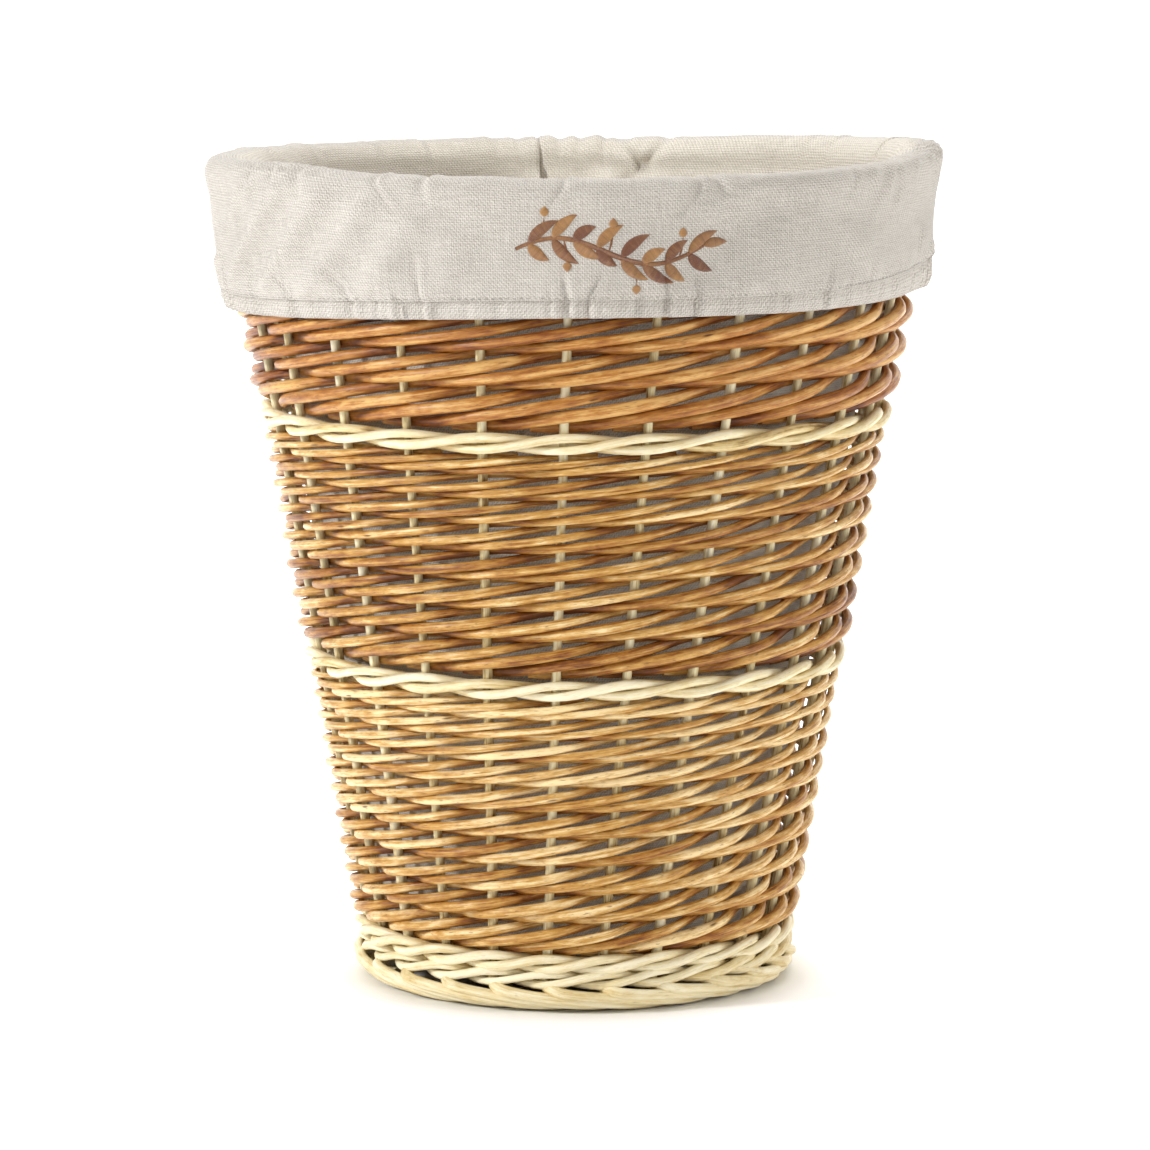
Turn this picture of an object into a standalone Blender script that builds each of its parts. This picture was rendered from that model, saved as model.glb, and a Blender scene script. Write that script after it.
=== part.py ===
"""Woven willow laundry basket with a lift-out fabric liner.

Metres, +Z up, origin on the floor at the basket's centre, front towards -Y.
The basket is built as a basket maker builds it: a base of six crossed sticks with
weaving round them, stakes pushed in beside the sticks and bent up, bands of
weaving round the stakes, and a border at the rim and at the foot. The woven
bands are plain solid rings with a channel for each stake. The liner is a
tapered bag whose cuff folds over the rim and is drawn in by an elastic hem.
"""

import math

import bmesh
import bpy
from mathutils import Matrix, Vector

# Overall size
HEIGHT = 0.500  # floor to the top of the folded cuff
FOOT_RADIUS = 0.1288  # outer face of the woven wall, carried down to the floor
RIM_RADIUS = 0.2198  # the same face at the full height

# Rods
STICKS_EACH_WAY = 3  # base sticks that lie side by side, crossed by as many
STAKE_DIAMETER = 0.0062  # at the butt, in the base
STAKE_TIP_SHARE = 0.80  # tip diameter over butt diameter
WEAVER_DIAMETER = 0.0056
STICK_DIAMETER = 0.0084
STICK_TIP_SHARE = 0.86
STAKE_LEAN = math.radians(7)  # how far weaving drags the stakes round, base to rim
STAKE_BEND = 0.012  # radius of the bend where a stake is pricked up

# Woven bands, from the floor up. The upper siding takes the height that is left.
FOOT_BORDER_HEIGHT = 0.0152
FOOT_WALE_HEIGHT = 0.0197
LOWER_SIDING_HEIGHT = 0.1557
WALE_HEIGHT = 0.0147
MIDDLE_SIDING_HEIGHT = 0.1325
RIM_BORDER_HEIGHT = 0.0226
FOOT_BORDER_PROUD = 0.0045  # past the wall's face, at the border's widest
FOOT_BORDER_WIDTH = 0.026
FOOT_WALE_PROUD = 0.0010  # past the wall's face at the top of the foot wale
WALE_PROUD = 0.0008
RIM_BORDER_PROUD = 0.0012
BORDER_EDGE = 0.0045  # chamfer that stands for the rolled edges of the borders

# Base
BASE_THICKNESS = 0.0135
SLATH_RADIUS = 0.030  # plain cross at the middle, before the sticks fan out
SLATH_RIM = 0.005  # from where the sticks fan out to the weaving's first round
FAN_RADIUS = 0.050  # from here out each stick points straight away from the middle
SLOT_HEIGHT = 0.0036  # slit in the split sticks that the others pass through
TAIL_SPAN = 0.046  # length of a stake that lies flat in the base
STICK_SETBACK = 0.0035  # from a stick's end to the edge of the base

# Liner
CLOTH = 0.0016
CUFF_DEPTH = 0.079  # rim to the lower edge of the hem
CUFF_JOIN = 0.030  # rim to the seam between wall and cuff
CUFF_STANDOFF = 0.0055  # between the wall's face and the cuff just above the hem
HEM_HEIGHT = 0.0107
HEM_CLOTH = 0.0010
HEM_TUCK = 0.008  # height over which the hem draws the cuff in
ELASTIC_WIDTH = 0.0060
ELASTIC_THICKNESS = 0.0012
THREADING_GAP = 0.014  # opening in the casing where the elastic goes in
SEAM_WIDTH = 0.006
SEAM_THICKNESS = 0.0012
SEAM_ANGLES = {"wall_seam_back": math.radians(94), "wall_seam_right": math.radians(49)}
MOTIF_HEIGHT = 0.044
MOTIF_THICKNESS = 0.0008

# Fits
CLEAR = 0.0003  # between pieces that touch
LINER_CLEAR = 0.0005  # between the liner and the weaving

# What follows from them
STICK_ENDS = 4 * STICKS_EACH_WAY
STAKES = 2 * STICK_ENDS
SIDES = STAKES  # a woven wall runs straight from stake to stake
FACET = 2 * math.pi / SIDES
HALF_WALL = STAKE_DIAMETER / 2 + WEAVER_DIAMETER
SLOPE = (RIM_RADIUS - FOOT_RADIUS) / HEIGHT
BASE_BOTTOM = FOOT_BORDER_HEIGHT + CLEAR
BASE_TOP = BASE_BOTTOM + BASE_THICKNESS
BASE_MIDDLE = (BASE_BOTTOM + BASE_TOP) / 2
FLOOR_BOTTOM = BASE_TOP + CLEAR
RIM_BORDER_TOP = HEIGHT - CLOTH - LINER_CLEAR
HEM_BOTTOM = HEIGHT - CUFF_DEPTH
HEM_TOP = HEM_BOTTOM + HEM_HEIGHT
SEAM_LEVEL = HEIGHT - CUFF_JOIN

WILLOW = (0.48, 0.24, 0.08)
DARK_WILLOW = (0.36, 0.15, 0.05)
PEELED = (0.83, 0.74, 0.50)
STAKE_WOOD = (0.66, 0.55, 0.33)
LINEN = (0.72, 0.67, 0.60)
THREAD = (0.30, 0.12, 0.04)


def clear_scene():
    """Removes the startup objects."""
    for obj in list(bpy.data.objects):
        bpy.data.objects.remove(obj)


def new_collection(name):
    """A collection linked into the scene."""
    collection = bpy.data.collections.new(name)
    bpy.context.scene.collection.children.link(collection)
    return collection


def plain_material(name, colour, roughness):
    """A Principled material of one colour."""
    material = bpy.data.materials.new(name)
    material.use_nodes = True
    shader = material.node_tree.nodes["Principled BSDF"]
    shader.inputs["Base Color"].default_value = (*colour, 1)
    shader.inputs["Roughness"].default_value = roughness
    shader.inputs["Metallic"].default_value = 0.0
    return material


def wall_radius(z):
    """Outer face of the woven wall."""
    return FOOT_RADIUS + SLOPE * z


def inner_radius(z):
    """Inner face of the woven wall."""
    return wall_radius(z) - 2 * HALF_WALL


def stake_radius(z):
    """The stakes' centre line."""
    return wall_radius(z) - HALF_WALL


def finish(obj, collection, material):
    """Puts a part in its collection, with its material and smooth shading."""
    for holder in list(obj.users_collection):
        holder.objects.unlink(obj)
    collection.objects.link(obj)
    obj.data.materials.clear()
    obj.data.materials.append(material)
    if obj.type == "MESH":
        obj.data.shade_smooth()
        obj.data.set_sharp_from_angle(angle=math.radians(30))
    return obj


def mesh_object(name, mesh):
    """An object for a mesh, in the scene."""
    obj = bpy.data.objects.new(name, mesh)
    bpy.context.scene.collection.objects.link(obj)
    return obj


def turned(name, outline, closed=True, facets=SIDES, first=FACET / 2):
    """A profile of (radius, height) points turned about Z, its outer side running down."""
    mesh = bpy.data.meshes.new(name)
    points = [(radius, 0, height) for radius, height in outline]
    count = len(points)
    edges = [(i, (i + 1) % count) for i in range(count if closed else count - 1)]
    mesh.from_pydata(points, edges, [])
    obj = mesh_object(name, mesh)
    obj.rotation_euler.z = first
    screw = obj.modifiers.new("Turn", "SCREW")
    screw.angle = facets * FACET
    screw.steps = facets
    screw.render_steps = facets
    screw.use_merge_vertices = facets == SIDES
    screw.merge_threshold = 0.0001
    screw.use_smooth_shade = True
    return obj


def thicken(obj, thickness):
    """Gives an open surface a thickness, half to each side."""
    solidify = obj.modifiers.new("Cloth", "SOLIDIFY")
    solidify.thickness = thickness
    solidify.offset = 0
    solidify.use_even_offset = True


def cut(obj, cutter):
    """Takes a cutter's shape out of a part."""
    boolean = obj.modifiers.new("Cut " + cutter.name, "BOOLEAN")
    boolean.operation = "DIFFERENCE"
    boolean.object = cutter


def as_cutter(obj, collection):
    """Moves a helper out of the model."""
    for holder in list(obj.users_collection):
        holder.objects.unlink(obj)
    collection.objects.link(obj)
    obj.hide_render = True
    obj.display_type = "WIRE"
    return obj


def rod_curve(name, points, diameter, shares):
    """A six-sided rod through the points, each with its share of the diameter."""
    curve = bpy.data.curves.new(name, "CURVE")
    curve.dimensions = "3D"
    curve.bevel_depth = diameter / 2
    curve.bevel_resolution = 1
    curve.use_fill_caps = True
    spline = curve.splines.new("POLY")
    spline.points.add(len(points) - 1)
    for point, place, share in zip(spline.points, points, shares):
        point.co = (*place, 1)
        point.radius = share
    obj = bpy.data.objects.new(name, curve)
    bpy.context.scene.collection.objects.link(obj)
    return obj


def curves_to_mesh(name, curves):
    """One mesh object made of several capped curves."""
    graph = bpy.context.evaluated_depsgraph_get()
    joined = bmesh.new()
    for curve in curves:
        mesh = bpy.data.meshes.new_from_object(curve.evaluated_get(graph))
        mesh.transform(curve.matrix_world)
        joined.from_mesh(mesh)
        bpy.data.meshes.remove(mesh)
        bpy.data.objects.remove(curve)
    bmesh.ops.remove_doubles(joined, verts=joined.verts, dist=0.00001)
    bmesh.ops.recalc_face_normals(joined, faces=joined.faces)
    mesh = bpy.data.meshes.new(name)
    joined.to_mesh(mesh)
    joined.free()
    return mesh_object(name, mesh)


def on_circle(radius, angle, height):
    """A point from its radius, angle and height."""
    return Vector((radius * math.cos(angle), radius * math.sin(angle), height))


def stake_route(angle, reach=0.0):
    """A stake's points, and each one's share of the butt diameter.

    The tail lies flat in the base, the bend turns it up, and the rest runs
    straight up the wall. Reach lengthens both ends.
    """
    turn = math.pi / 2 - math.atan(SLOPE)
    bend_start = stake_radius(BASE_MIDDLE) - STAKE_BEND * math.tan(turn / 2)
    points = [on_circle(bend_start - TAIL_SPAN - reach, angle, BASE_MIDDLE)]
    steps = 3
    for step in range(steps + 1):
        part = turn * step / steps
        radius = bend_start + STAKE_BEND * math.sin(part)
        points.append(on_circle(radius, angle, BASE_MIDDLE + STAKE_BEND * (1 - math.cos(part))))
    top = RIM_BORDER_TOP - RIM_BORDER_HEIGHT / 2
    tip = on_circle(stake_radius(top), angle + STAKE_LEAN, top)
    tip += (tip - points[-1]).normalized() * reach
    points.append(tip)
    return points, [1.0] * (len(points) - 1) + [STAKE_TIP_SHARE]


def stake_angle(index):
    """Stakes stand in pairs, one on each side of every base stick's end."""
    return -math.pi / 2 + (index - 0.5) * FACET


def make_stakes(parts, wood):
    """The upright stakes."""
    for index in range(STAKES):
        points, shares = stake_route(stake_angle(index))
        stake = rod_curve(f"stake_{index + 1:02d}", points, STAKE_DIAMETER, shares)
        finish(stake, parts, wood)


def grown(shares, diameter):
    """Shares of a rod's diameter that leave a clearance all round it."""
    return [share + 2 * CLEAR / diameter for share in shares]


def make_stake_cutter(cutters):
    """The room that all the stakes need."""
    curves = []
    for index in range(STAKES):
        points, shares = stake_route(stake_angle(index), reach=CLEAR)
        room = grown(shares, STAKE_DIAMETER)
        curves.append(rod_curve("stake_room", points, STAKE_DIAMETER, room))
    return as_cutter(curves_to_mesh("stake_rooms", curves), cutters)


def stick_route(lane, quarter, reach=0.0):
    """A base stick: side by side with its fellows at the middle, fanned out past it."""
    step = STICK_DIAMETER + CLEAR
    fan = 2 * math.pi / STICK_ENDS * lane
    end = inner_radius(BASE_BOTTOM) - CLEAR - STICK_SETBACK + reach
    half = [
        on_circle(end, fan, BASE_MIDDLE),
        on_circle(FAN_RADIUS, fan, BASE_MIDDLE),
        Vector((SLATH_RADIUS, lane * step, BASE_MIDDLE)),
    ]
    mirrored = [Vector((-point.x, point.y, point.z)) for point in reversed(half)]
    turn = Matrix.Rotation(quarter, 3, "Z")
    return [turn @ point for point in half + mirrored]


def stick_lanes():
    """Lane numbers that are even about zero, such as -1, 0, 1."""
    middle = (STICKS_EACH_WAY - 1) / 2
    return [lane - middle for lane in range(STICKS_EACH_WAY)]


def box(name, size, place, collection):
    """A cutter in the shape of a box."""
    bpy.ops.mesh.primitive_cube_add(size=1, location=place)
    obj = bpy.context.object
    obj.name = name
    obj.scale = size
    bpy.ops.object.transform_apply(location=False, rotation=False, scale=True)
    return as_cutter(obj, collection)


def make_sticks(parts, cutters, wood):
    """The slath: split sticks along X, and whole ones along Y shaved to pass through them."""
    crossing = STICKS_EACH_WAY * (STICK_DIAMETER + CLEAR) + CLEAR
    slit = box("stick_slit", (crossing, crossing * 2, SLOT_HEIGHT), (0, 0, BASE_MIDDLE), cutters)
    shaving = (STICK_DIAMETER - SLOT_HEIGHT) / 2 + CLEAR
    shaves = []
    for side in (-1, 1):
        height = BASE_MIDDLE + side * (SLOT_HEIGHT / 2 - CLEAR + shaving)
        size = (crossing * 2, crossing + 2 * CLEAR, 2 * shaving)
        shaves.append(box("stick_shave", size, (0, 0, height), cutters))
    shares = [STICK_TIP_SHARE, 1.0, 1.0, 1.0, 1.0, STICK_TIP_SHARE]
    for quarter, kind, tools in ((0, "split", [slit]), (math.pi / 2, "through", shaves)):
        for number, lane in enumerate(stick_lanes(), start=1):
            curve = rod_curve("stick", stick_route(lane, quarter), STICK_DIAMETER, shares)
            stick = curves_to_mesh(f"base_stick_{kind}_{number}", [curve])
            for tool in tools:
                cut(stick, tool)
            finish(stick, parts, wood)


def make_stick_cutter(cutters):
    """The room that the sticks' fanned ends need in the weaving."""
    curves = []
    room = grown([STICK_TIP_SHARE, 1.0, 1.0], STICK_DIAMETER)
    for quarter in range(4):
        for lane in stick_lanes():
            fanned = stick_route(lane, quarter * math.pi / 2, reach=CLEAR)[:3]
            curves.append(rod_curve("stick_room", fanned, STICK_DIAMETER, room))
    return as_cutter(curves_to_mesh("stick_rooms", curves), cutters)


def ring_outline(bottom, top, proud=0.0):
    """A band of weaving: its outer face bulges by proud at half height."""
    outline = [(wall_radius(top), top)]
    if proud:
        middle = (bottom + top) / 2
        outline.append((wall_radius(middle) + proud, middle))
    outline.append((wall_radius(bottom), bottom))
    outline.append((inner_radius(bottom), bottom))
    outline.append((inner_radius(top), top))
    return outline


def make_foot_border(parts, wood):
    """The rolled border that the basket stands on, with a flat underside."""
    top = FOOT_BORDER_HEIGHT
    outer = wall_radius(top / 2) + FOOT_BORDER_PROUD
    inner = outer - FOOT_BORDER_WIDTH
    edge = BORDER_EDGE
    outline = [
        (outer - edge, top),
        (outer, top - edge / 2),
        (outer, edge),
        (outer - edge, 0),
        (inner + edge, 0),
        (inner, edge),
        (inner, top),
    ]
    finish(turned("foot_border", outline), parts, wood)


def make_foot_wale(parts, rooms, wood):
    """The wale that locks the stakes round the base."""
    bottom = FOOT_BORDER_HEIGHT + CLEAR
    top = bottom + FOOT_WALE_HEIGHT
    outer = wall_radius(top) + FOOT_WALE_PROUD
    outline = [
        (wall_radius(top), top),
        (outer, top - BORDER_EDGE),
        (outer, bottom),
        (inner_radius(bottom), bottom),
        (inner_radius(top), top),
    ]
    wale = turned("foot_wale", outline)
    cut(wale, rooms)
    finish(wale, parts, wood)
    return top


def make_bands(parts, rooms, woods):
    """The sidings and the wales between them, stacked from the foot wale to the rim border."""
    border_bottom = RIM_BORDER_TOP - RIM_BORDER_HEIGHT
    below = make_foot_wale(parts, rooms, woods["peeled"])
    rim_wale_bottom = border_bottom - CLEAR - WALE_HEIGHT
    stack = (
        ("lower_siding", LOWER_SIDING_HEIGHT, 0, "willow"),
        ("lower_wale", WALE_HEIGHT, WALE_PROUD, "peeled"),
        ("middle_siding", MIDDLE_SIDING_HEIGHT, 0, "willow"),
        ("upper_wale", WALE_HEIGHT, WALE_PROUD, "peeled"),
        ("upper_siding", None, 0, "dark"),
        ("rim_wale", WALE_HEIGHT, WALE_PROUD, "peeled"),
    )
    for name, height, proud, wood in stack:
        bottom = below + CLEAR
        top = rim_wale_bottom - CLEAR if height is None else bottom + height
        band = turned(name, ring_outline(bottom, top, proud))
        cut(band, rooms)
        finish(band, parts, woods[wood])
        below = top


def rim_outline():
    """The rim border's inner face, top and outer face, as far as the cloth follows them."""
    top = RIM_BORDER_TOP
    edge = BORDER_EDGE
    outer = wall_radius(top) + RIM_BORDER_PROUD
    return [
        (inner_radius(top - edge), top - edge),
        (inner_radius(top - edge) + edge, top),
        (outer - edge, top),
        (outer, top - edge),
    ]


def make_rim_border(parts, rooms, wood):
    """The border at the rim, which holds the stakes' tips."""
    bottom = RIM_BORDER_TOP - RIM_BORDER_HEIGHT
    outline = rim_outline()
    shoulder = bottom + BORDER_EDGE
    outline.append((wall_radius(shoulder) + RIM_BORDER_PROUD, shoulder))
    outline.append((wall_radius(bottom), bottom))
    outline.append((inner_radius(bottom), bottom))
    border = turned("rim_border", outline)
    cut(border, rooms)
    finish(border, parts, wood)


def make_base(parts, cutters, rooms, wood):
    """The woven disc round the slath."""
    outer = inner_radius(BASE_BOTTOM) - CLEAR
    outline = [
        (outer, BASE_TOP),
        (outer, BASE_BOTTOM),
        (SLATH_RADIUS + SLATH_RIM, BASE_BOTTOM),
        (SLATH_RADIUS + SLATH_RIM, BASE_TOP),
    ]
    disc = turned("base_weave", outline)
    cut(disc, make_stick_cutter(cutters))
    cut(disc, rooms)
    finish(disc, parts, wood)


def offset_line(points, distance):
    """The points of a line moved to its left by a distance, mitred at the corners."""
    moved = []
    for index, point in enumerate(points):
        here = Vector(point)
        normals = []
        if index:
            normals.append((here - Vector(points[index - 1])).normalized())
        if index < len(points) - 1:
            normals.append((Vector(points[index + 1]) - here).normalized())
        normals = [Vector((-step.y, step.x)) for step in normals]
        mitre = sum(normals, Vector((0, 0))).normalized()
        moved.append(tuple(here + mitre * distance / mitre.dot(normals[0])))
    return moved


def liner_radius(z):
    """Outer face of the liner's wall."""
    return inner_radius(z) - LINER_CLEAR


def make_liner_wall(parts, cloth):
    """The tapered bag's wall."""
    top = SEAM_LEVEL - CLEAR
    outline = [
        (liner_radius(top), top),
        (liner_radius(FLOOR_BOTTOM), FLOOR_BOTTOM),
        (liner_radius(FLOOR_BOTTOM) - CLOTH, FLOOR_BOTTOM),
        (liner_radius(top) - CLOTH, top),
    ]
    return finish(turned("liner_wall", outline), parts, cloth)


def make_liner_floor(parts, cloth):
    """The round floor panel, and the seam allowance that joins it to the wall."""
    edge = liner_radius(FLOOR_BOTTOM) - CLOTH - CLEAR
    floor_top = FLOOR_BOTTOM + CLOTH
    disc = [(0, floor_top), (edge, floor_top), (edge, FLOOR_BOTTOM), (0, FLOOR_BOTTOM)]
    floor = turned("liner_floor", disc, closed=False)
    bottom = floor_top + CLEAR
    inside = liner_radius(bottom) - CLOTH - CLEAR
    outline = [
        (inside, bottom + SEAM_THICKNESS),
        (inside, bottom),
        (inside - SEAM_WIDTH, bottom),
        (inside - SEAM_WIDTH, bottom + SEAM_THICKNESS / 2),
    ]
    return [finish(floor, parts, cloth), finish(turned("floor_seam", outline), parts, cloth)]


def hem_inner_radius(z):
    """Inner face of the hem's casing, which bears on the weaving."""
    return wall_radius(z) + LINER_CLEAR


def hem_thickness():
    """Casing, elastic and the room between them."""
    return 2 * HEM_CLOTH + 2 * CLEAR + ELASTIC_THICKNESS


def cuff_line():
    """The middle of the cuff's cloth, from the seam inside, over the rim, to the hem."""
    line = [(inner_radius(SEAM_LEVEL), SEAM_LEVEL)] + rim_outline()
    tuck = HEM_TOP + HEM_TUCK
    line.append((wall_radius(tuck) + CUFF_STANDOFF, tuck))
    line = offset_line(line, LINER_CLEAR + CLOTH / 2)
    end = HEM_TOP + CLEAR + CLOTH / 2
    line.append((hem_inner_radius(end) + hem_thickness() - CLOTH / 2, end))
    return line


def make_cuff(parts, cloth):
    """The band of cloth folded over the rim."""
    cuff = turned("liner_cuff", cuff_line(), closed=False)
    thicken(cuff, CLOTH)
    return finish(cuff, parts, cloth)


def band_outline(bottom, top, inset, thickness):
    """A band that follows the wall's slope, at an inset from the hem's inner face."""
    return [
        (hem_inner_radius(top) + inset + thickness, top),
        (hem_inner_radius(bottom) + inset + thickness, bottom),
        (hem_inner_radius(bottom) + inset, bottom),
        (hem_inner_radius(top) + inset, top),
    ]


def make_hem(parts, cutters, cloth, rubber):
    """The hem's casing, and the elastic that runs through it."""
    middle = (HEM_BOTTOM + HEM_TOP) / 2
    low = middle - ELASTIC_WIDTH / 2
    high = middle + ELASTIC_WIDTH / 2
    hem = turned("cuff_hem", band_outline(HEM_BOTTOM, HEM_TOP, 0, hem_thickness()))
    tunnel_depth = ELASTIC_THICKNESS + 2 * CLEAR
    tunnel = turned("elastic_room", band_outline(low - CLEAR, high + CLEAR, HEM_CLOTH, tunnel_depth))
    cut(hem, as_cutter(tunnel, cutters))
    reach = hem_inner_radius(middle) + HEM_CLOTH
    size = (THREADING_GAP, 4 * HEM_CLOTH, ELASTIC_WIDTH / 2)
    cut(hem, box("threading_gap", size, (0, reach, middle), cutters))
    elastic = turned("hem_elastic", band_outline(low, high, HEM_CLOTH + CLEAR, ELASTIC_THICKNESS))
    return [finish(hem, parts, cloth), finish(elastic, parts, rubber)]


def facet_middle(angle):
    """The direction in which the wall's facet at this angle faces."""
    return round(angle / FACET) * FACET


def make_wall_seams(parts, cloth):
    """The upright seam allowances on the inside of the liner's wall."""
    made = []
    bottom = FLOOR_BOTTOM + CLOTH + SEAM_THICKNESS + 2 * CLEAR
    top = SEAM_LEVEL - CLEAR
    inset = CLOTH + CLEAR + SEAM_THICKNESS / 2
    for name, angle in SEAM_ANGLES.items():
        facing = facet_middle(angle)
        ends = []
        for height in (bottom, top):
            flat = liner_radius(height) * math.cos(FACET / 2) - inset
            ends.append(Vector((flat, flat * math.tan(angle - facing), height)))
        run = ends[1] - ends[0]
        bpy.ops.mesh.primitive_cube_add(size=1)
        seam = bpy.context.object
        seam.name = name
        seam.data.transform(Matrix.Diagonal((SEAM_THICKNESS, SEAM_WIDTH, run.length, 1)))
        seam.data.transform(seam_frame(run))
        seam.data.transform(Matrix.Translation((ends[0] + ends[1]) / 2))
        seam.rotation_euler.z = facing
        made.append(finish(seam, parts, cloth))
    return made


def seam_frame(run):
    """Axes with Z along the seam and Y along the wall's facet."""
    up = run.normalized()
    out = Vector((0, 1, 0)).cross(up).normalized()
    return Matrix((out, up.cross(out), up)).transposed().to_4x4()


def make_motif(parts, thread):
    """The embroidered motif, as a thin patch over two facets at the front of the cuff."""
    line = cuff_line()
    upper = Vector(line[-3])
    lower = Vector(line[-2])
    middle = (upper + lower) / 2
    half = (upper - lower).normalized() * MOTIF_HEIGHT / 2
    run = [tuple(middle + half), tuple(middle - half)]
    run = offset_line(run, CLOTH / 2 + CLEAR + MOTIF_THICKNESS / 2)
    patch = turned("embroidery", run, closed=False, facets=2, first=-math.pi / 2 - FACET / 2)
    thicken(patch, MOTIF_THICKNESS)
    return finish(patch, parts, thread)


def make_liner(parts, cutters, materials):
    """Every piece of the liner, carried by an empty on the axis along which it lifts out."""
    pieces = [make_liner_wall(parts, materials["linen"])]
    pieces += make_liner_floor(parts, materials["linen"])
    pieces.append(make_cuff(parts, materials["linen"]))
    pieces += make_hem(parts, cutters, materials["linen"], materials["elastic"])
    pieces += make_wall_seams(parts, materials["linen"])
    pieces.append(make_motif(parts, materials["thread"]))
    carrier = bpy.data.objects.new("liner_lift", None)
    parts.objects.link(carrier)
    for piece in pieces:
        piece.parent = carrier


def main():
    """Builds the basket and its liner."""
    clear_scene()
    parts = new_collection("woven_laundry_basket")
    cutters = new_collection("cutters")
    materials = {
        "willow": plain_material("willow", WILLOW, 0.5),
        "dark": plain_material("dark_willow", DARK_WILLOW, 0.5),
        "peeled": plain_material("peeled_willow", PEELED, 0.45),
        "stake": plain_material("stake_willow", STAKE_WOOD, 0.5),
        "linen": plain_material("linen", LINEN, 0.9),
        "elastic": plain_material("elastic", (0.85, 0.83, 0.80), 0.7),
        "thread": plain_material("thread", THREAD, 0.6),
    }
    rooms = make_stake_cutter(cutters)
    make_stakes(parts, materials["stake"])
    make_sticks(parts, cutters, materials["stake"])
    make_base(parts, cutters, rooms, materials["willow"])
    make_foot_border(parts, materials["peeled"])
    make_bands(parts, rooms, materials)
    make_rim_border(parts, rooms, materials["dark"])
    make_liner(parts, cutters, materials)


main()
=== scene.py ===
"""A round willow laundry basket with a lift-out fabric liner.

Run as a script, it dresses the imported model: every rod is laid along its own
way in and out of the stakes, and the liner is cut, hung and folded over the rim.
"""

import functools
import math
import random

import bmesh
import bpy
from mathutils import Matrix, Vector, noise


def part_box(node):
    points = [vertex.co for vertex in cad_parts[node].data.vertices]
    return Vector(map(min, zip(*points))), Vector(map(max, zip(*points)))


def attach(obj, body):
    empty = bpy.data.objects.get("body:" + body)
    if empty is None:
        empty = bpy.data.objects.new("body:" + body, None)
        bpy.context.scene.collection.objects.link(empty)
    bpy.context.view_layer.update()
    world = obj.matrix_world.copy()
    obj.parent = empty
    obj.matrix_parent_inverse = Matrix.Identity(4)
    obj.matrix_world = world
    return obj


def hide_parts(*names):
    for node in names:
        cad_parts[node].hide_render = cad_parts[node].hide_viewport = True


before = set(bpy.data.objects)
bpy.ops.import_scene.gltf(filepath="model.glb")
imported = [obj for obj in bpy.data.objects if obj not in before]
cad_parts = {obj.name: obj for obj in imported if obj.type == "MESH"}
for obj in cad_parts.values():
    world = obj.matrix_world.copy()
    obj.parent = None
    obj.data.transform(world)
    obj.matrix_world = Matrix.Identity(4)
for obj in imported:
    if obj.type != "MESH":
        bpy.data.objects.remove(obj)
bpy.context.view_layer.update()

bl_info = {
    "name": "Woven Laundry Basket",
    "version": (1, 0, 0),
    "blender": (4, 5, 0),
    "location": "View3D > Sidebar > Basket",
    "description": "Weaves a round willow laundry basket and hangs its fabric liner",
    "category": "Add Mesh",
}

noise.seed_set(7)  # noise_vector draws its offsets at random, so they get a fixed seed

TAU = 2 * math.pi
STAKES = sum(name.startswith("stake_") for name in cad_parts)
SPACING = TAU / STAKES
FLAT = math.cos(SPACING / 2)  # a flat's middle, as a share of the corners' radius


def cad_radius(node):
    """The widest radius of a turned CAD node, at its corners."""
    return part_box(node)[1].x / FLAT


def cad_levels(node):
    """The bottom and top of a CAD node."""
    low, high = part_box(node)
    return low.z, high.z


def wall_from_frame():
    """The woven wall's radius at the floor, and how much it widens per metre of height."""
    low_z, high_z = cad_levels("lower_siding")[1], cad_levels("upper_siding")[1]
    low, high = cad_radius("lower_siding"), cad_radius("upper_siding")
    slope = (high - low) / (high_z - low_z)
    return low - slope * low_z, slope


FOOT_RADIUS, SLOPE = wall_from_frame()
WALL = 0.0174  # thickness of the woven wall, face to face
HALF_WALL = WALL / 2
BASE_LEVEL = sum(cad_levels("base_weave")) / 2
RIM_TOP = cad_levels("rim_border")[1]
STAKE_TOP = cad_levels("stake_01")[1]
CUFF_TOP = cad_levels("liner_cuff")[1]
WALL_TOP = cad_levels("liner_wall")[1]
FLOOR_LEVEL = cad_levels("liner_floor")[0]


# ---------------------------------------------------------------- settings


def length(name, description, default):
    return bpy.props.FloatProperty(
        name=name, description=description, default=default, min=0.0, precision=4,
        subtype="DISTANCE", unit="LENGTH",
    )


def colour(name, description, default):
    return bpy.props.FloatVectorProperty(
        name=name, description=description, default=default, size=3, min=0.0, max=1.0,
        subtype="COLOR",
    )


def linear(red, green, blue):
    """A paint-chart colour of 0 to 255 as the linear values that shaders take."""
    made = []
    for part in (red, green, blue):
        part /= 255
        made.append(part / 12.92 if part <= 0.04045 else ((part + 0.055) / 1.055) ** 2.4)
    return tuple(made)


def shade(red, green, blue):
    """A paint-chart colour as a shader takes it, opaque."""
    return (*linear(red, green, blue), 1.0)


def dyed(colour_of, red, green, blue):
    """A colour with each of its three parts multiplied, up to full."""
    return tuple(min(1.0, part * share) for part, share in zip(colour_of, (red, green, blue))) + (1.0,)


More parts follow.
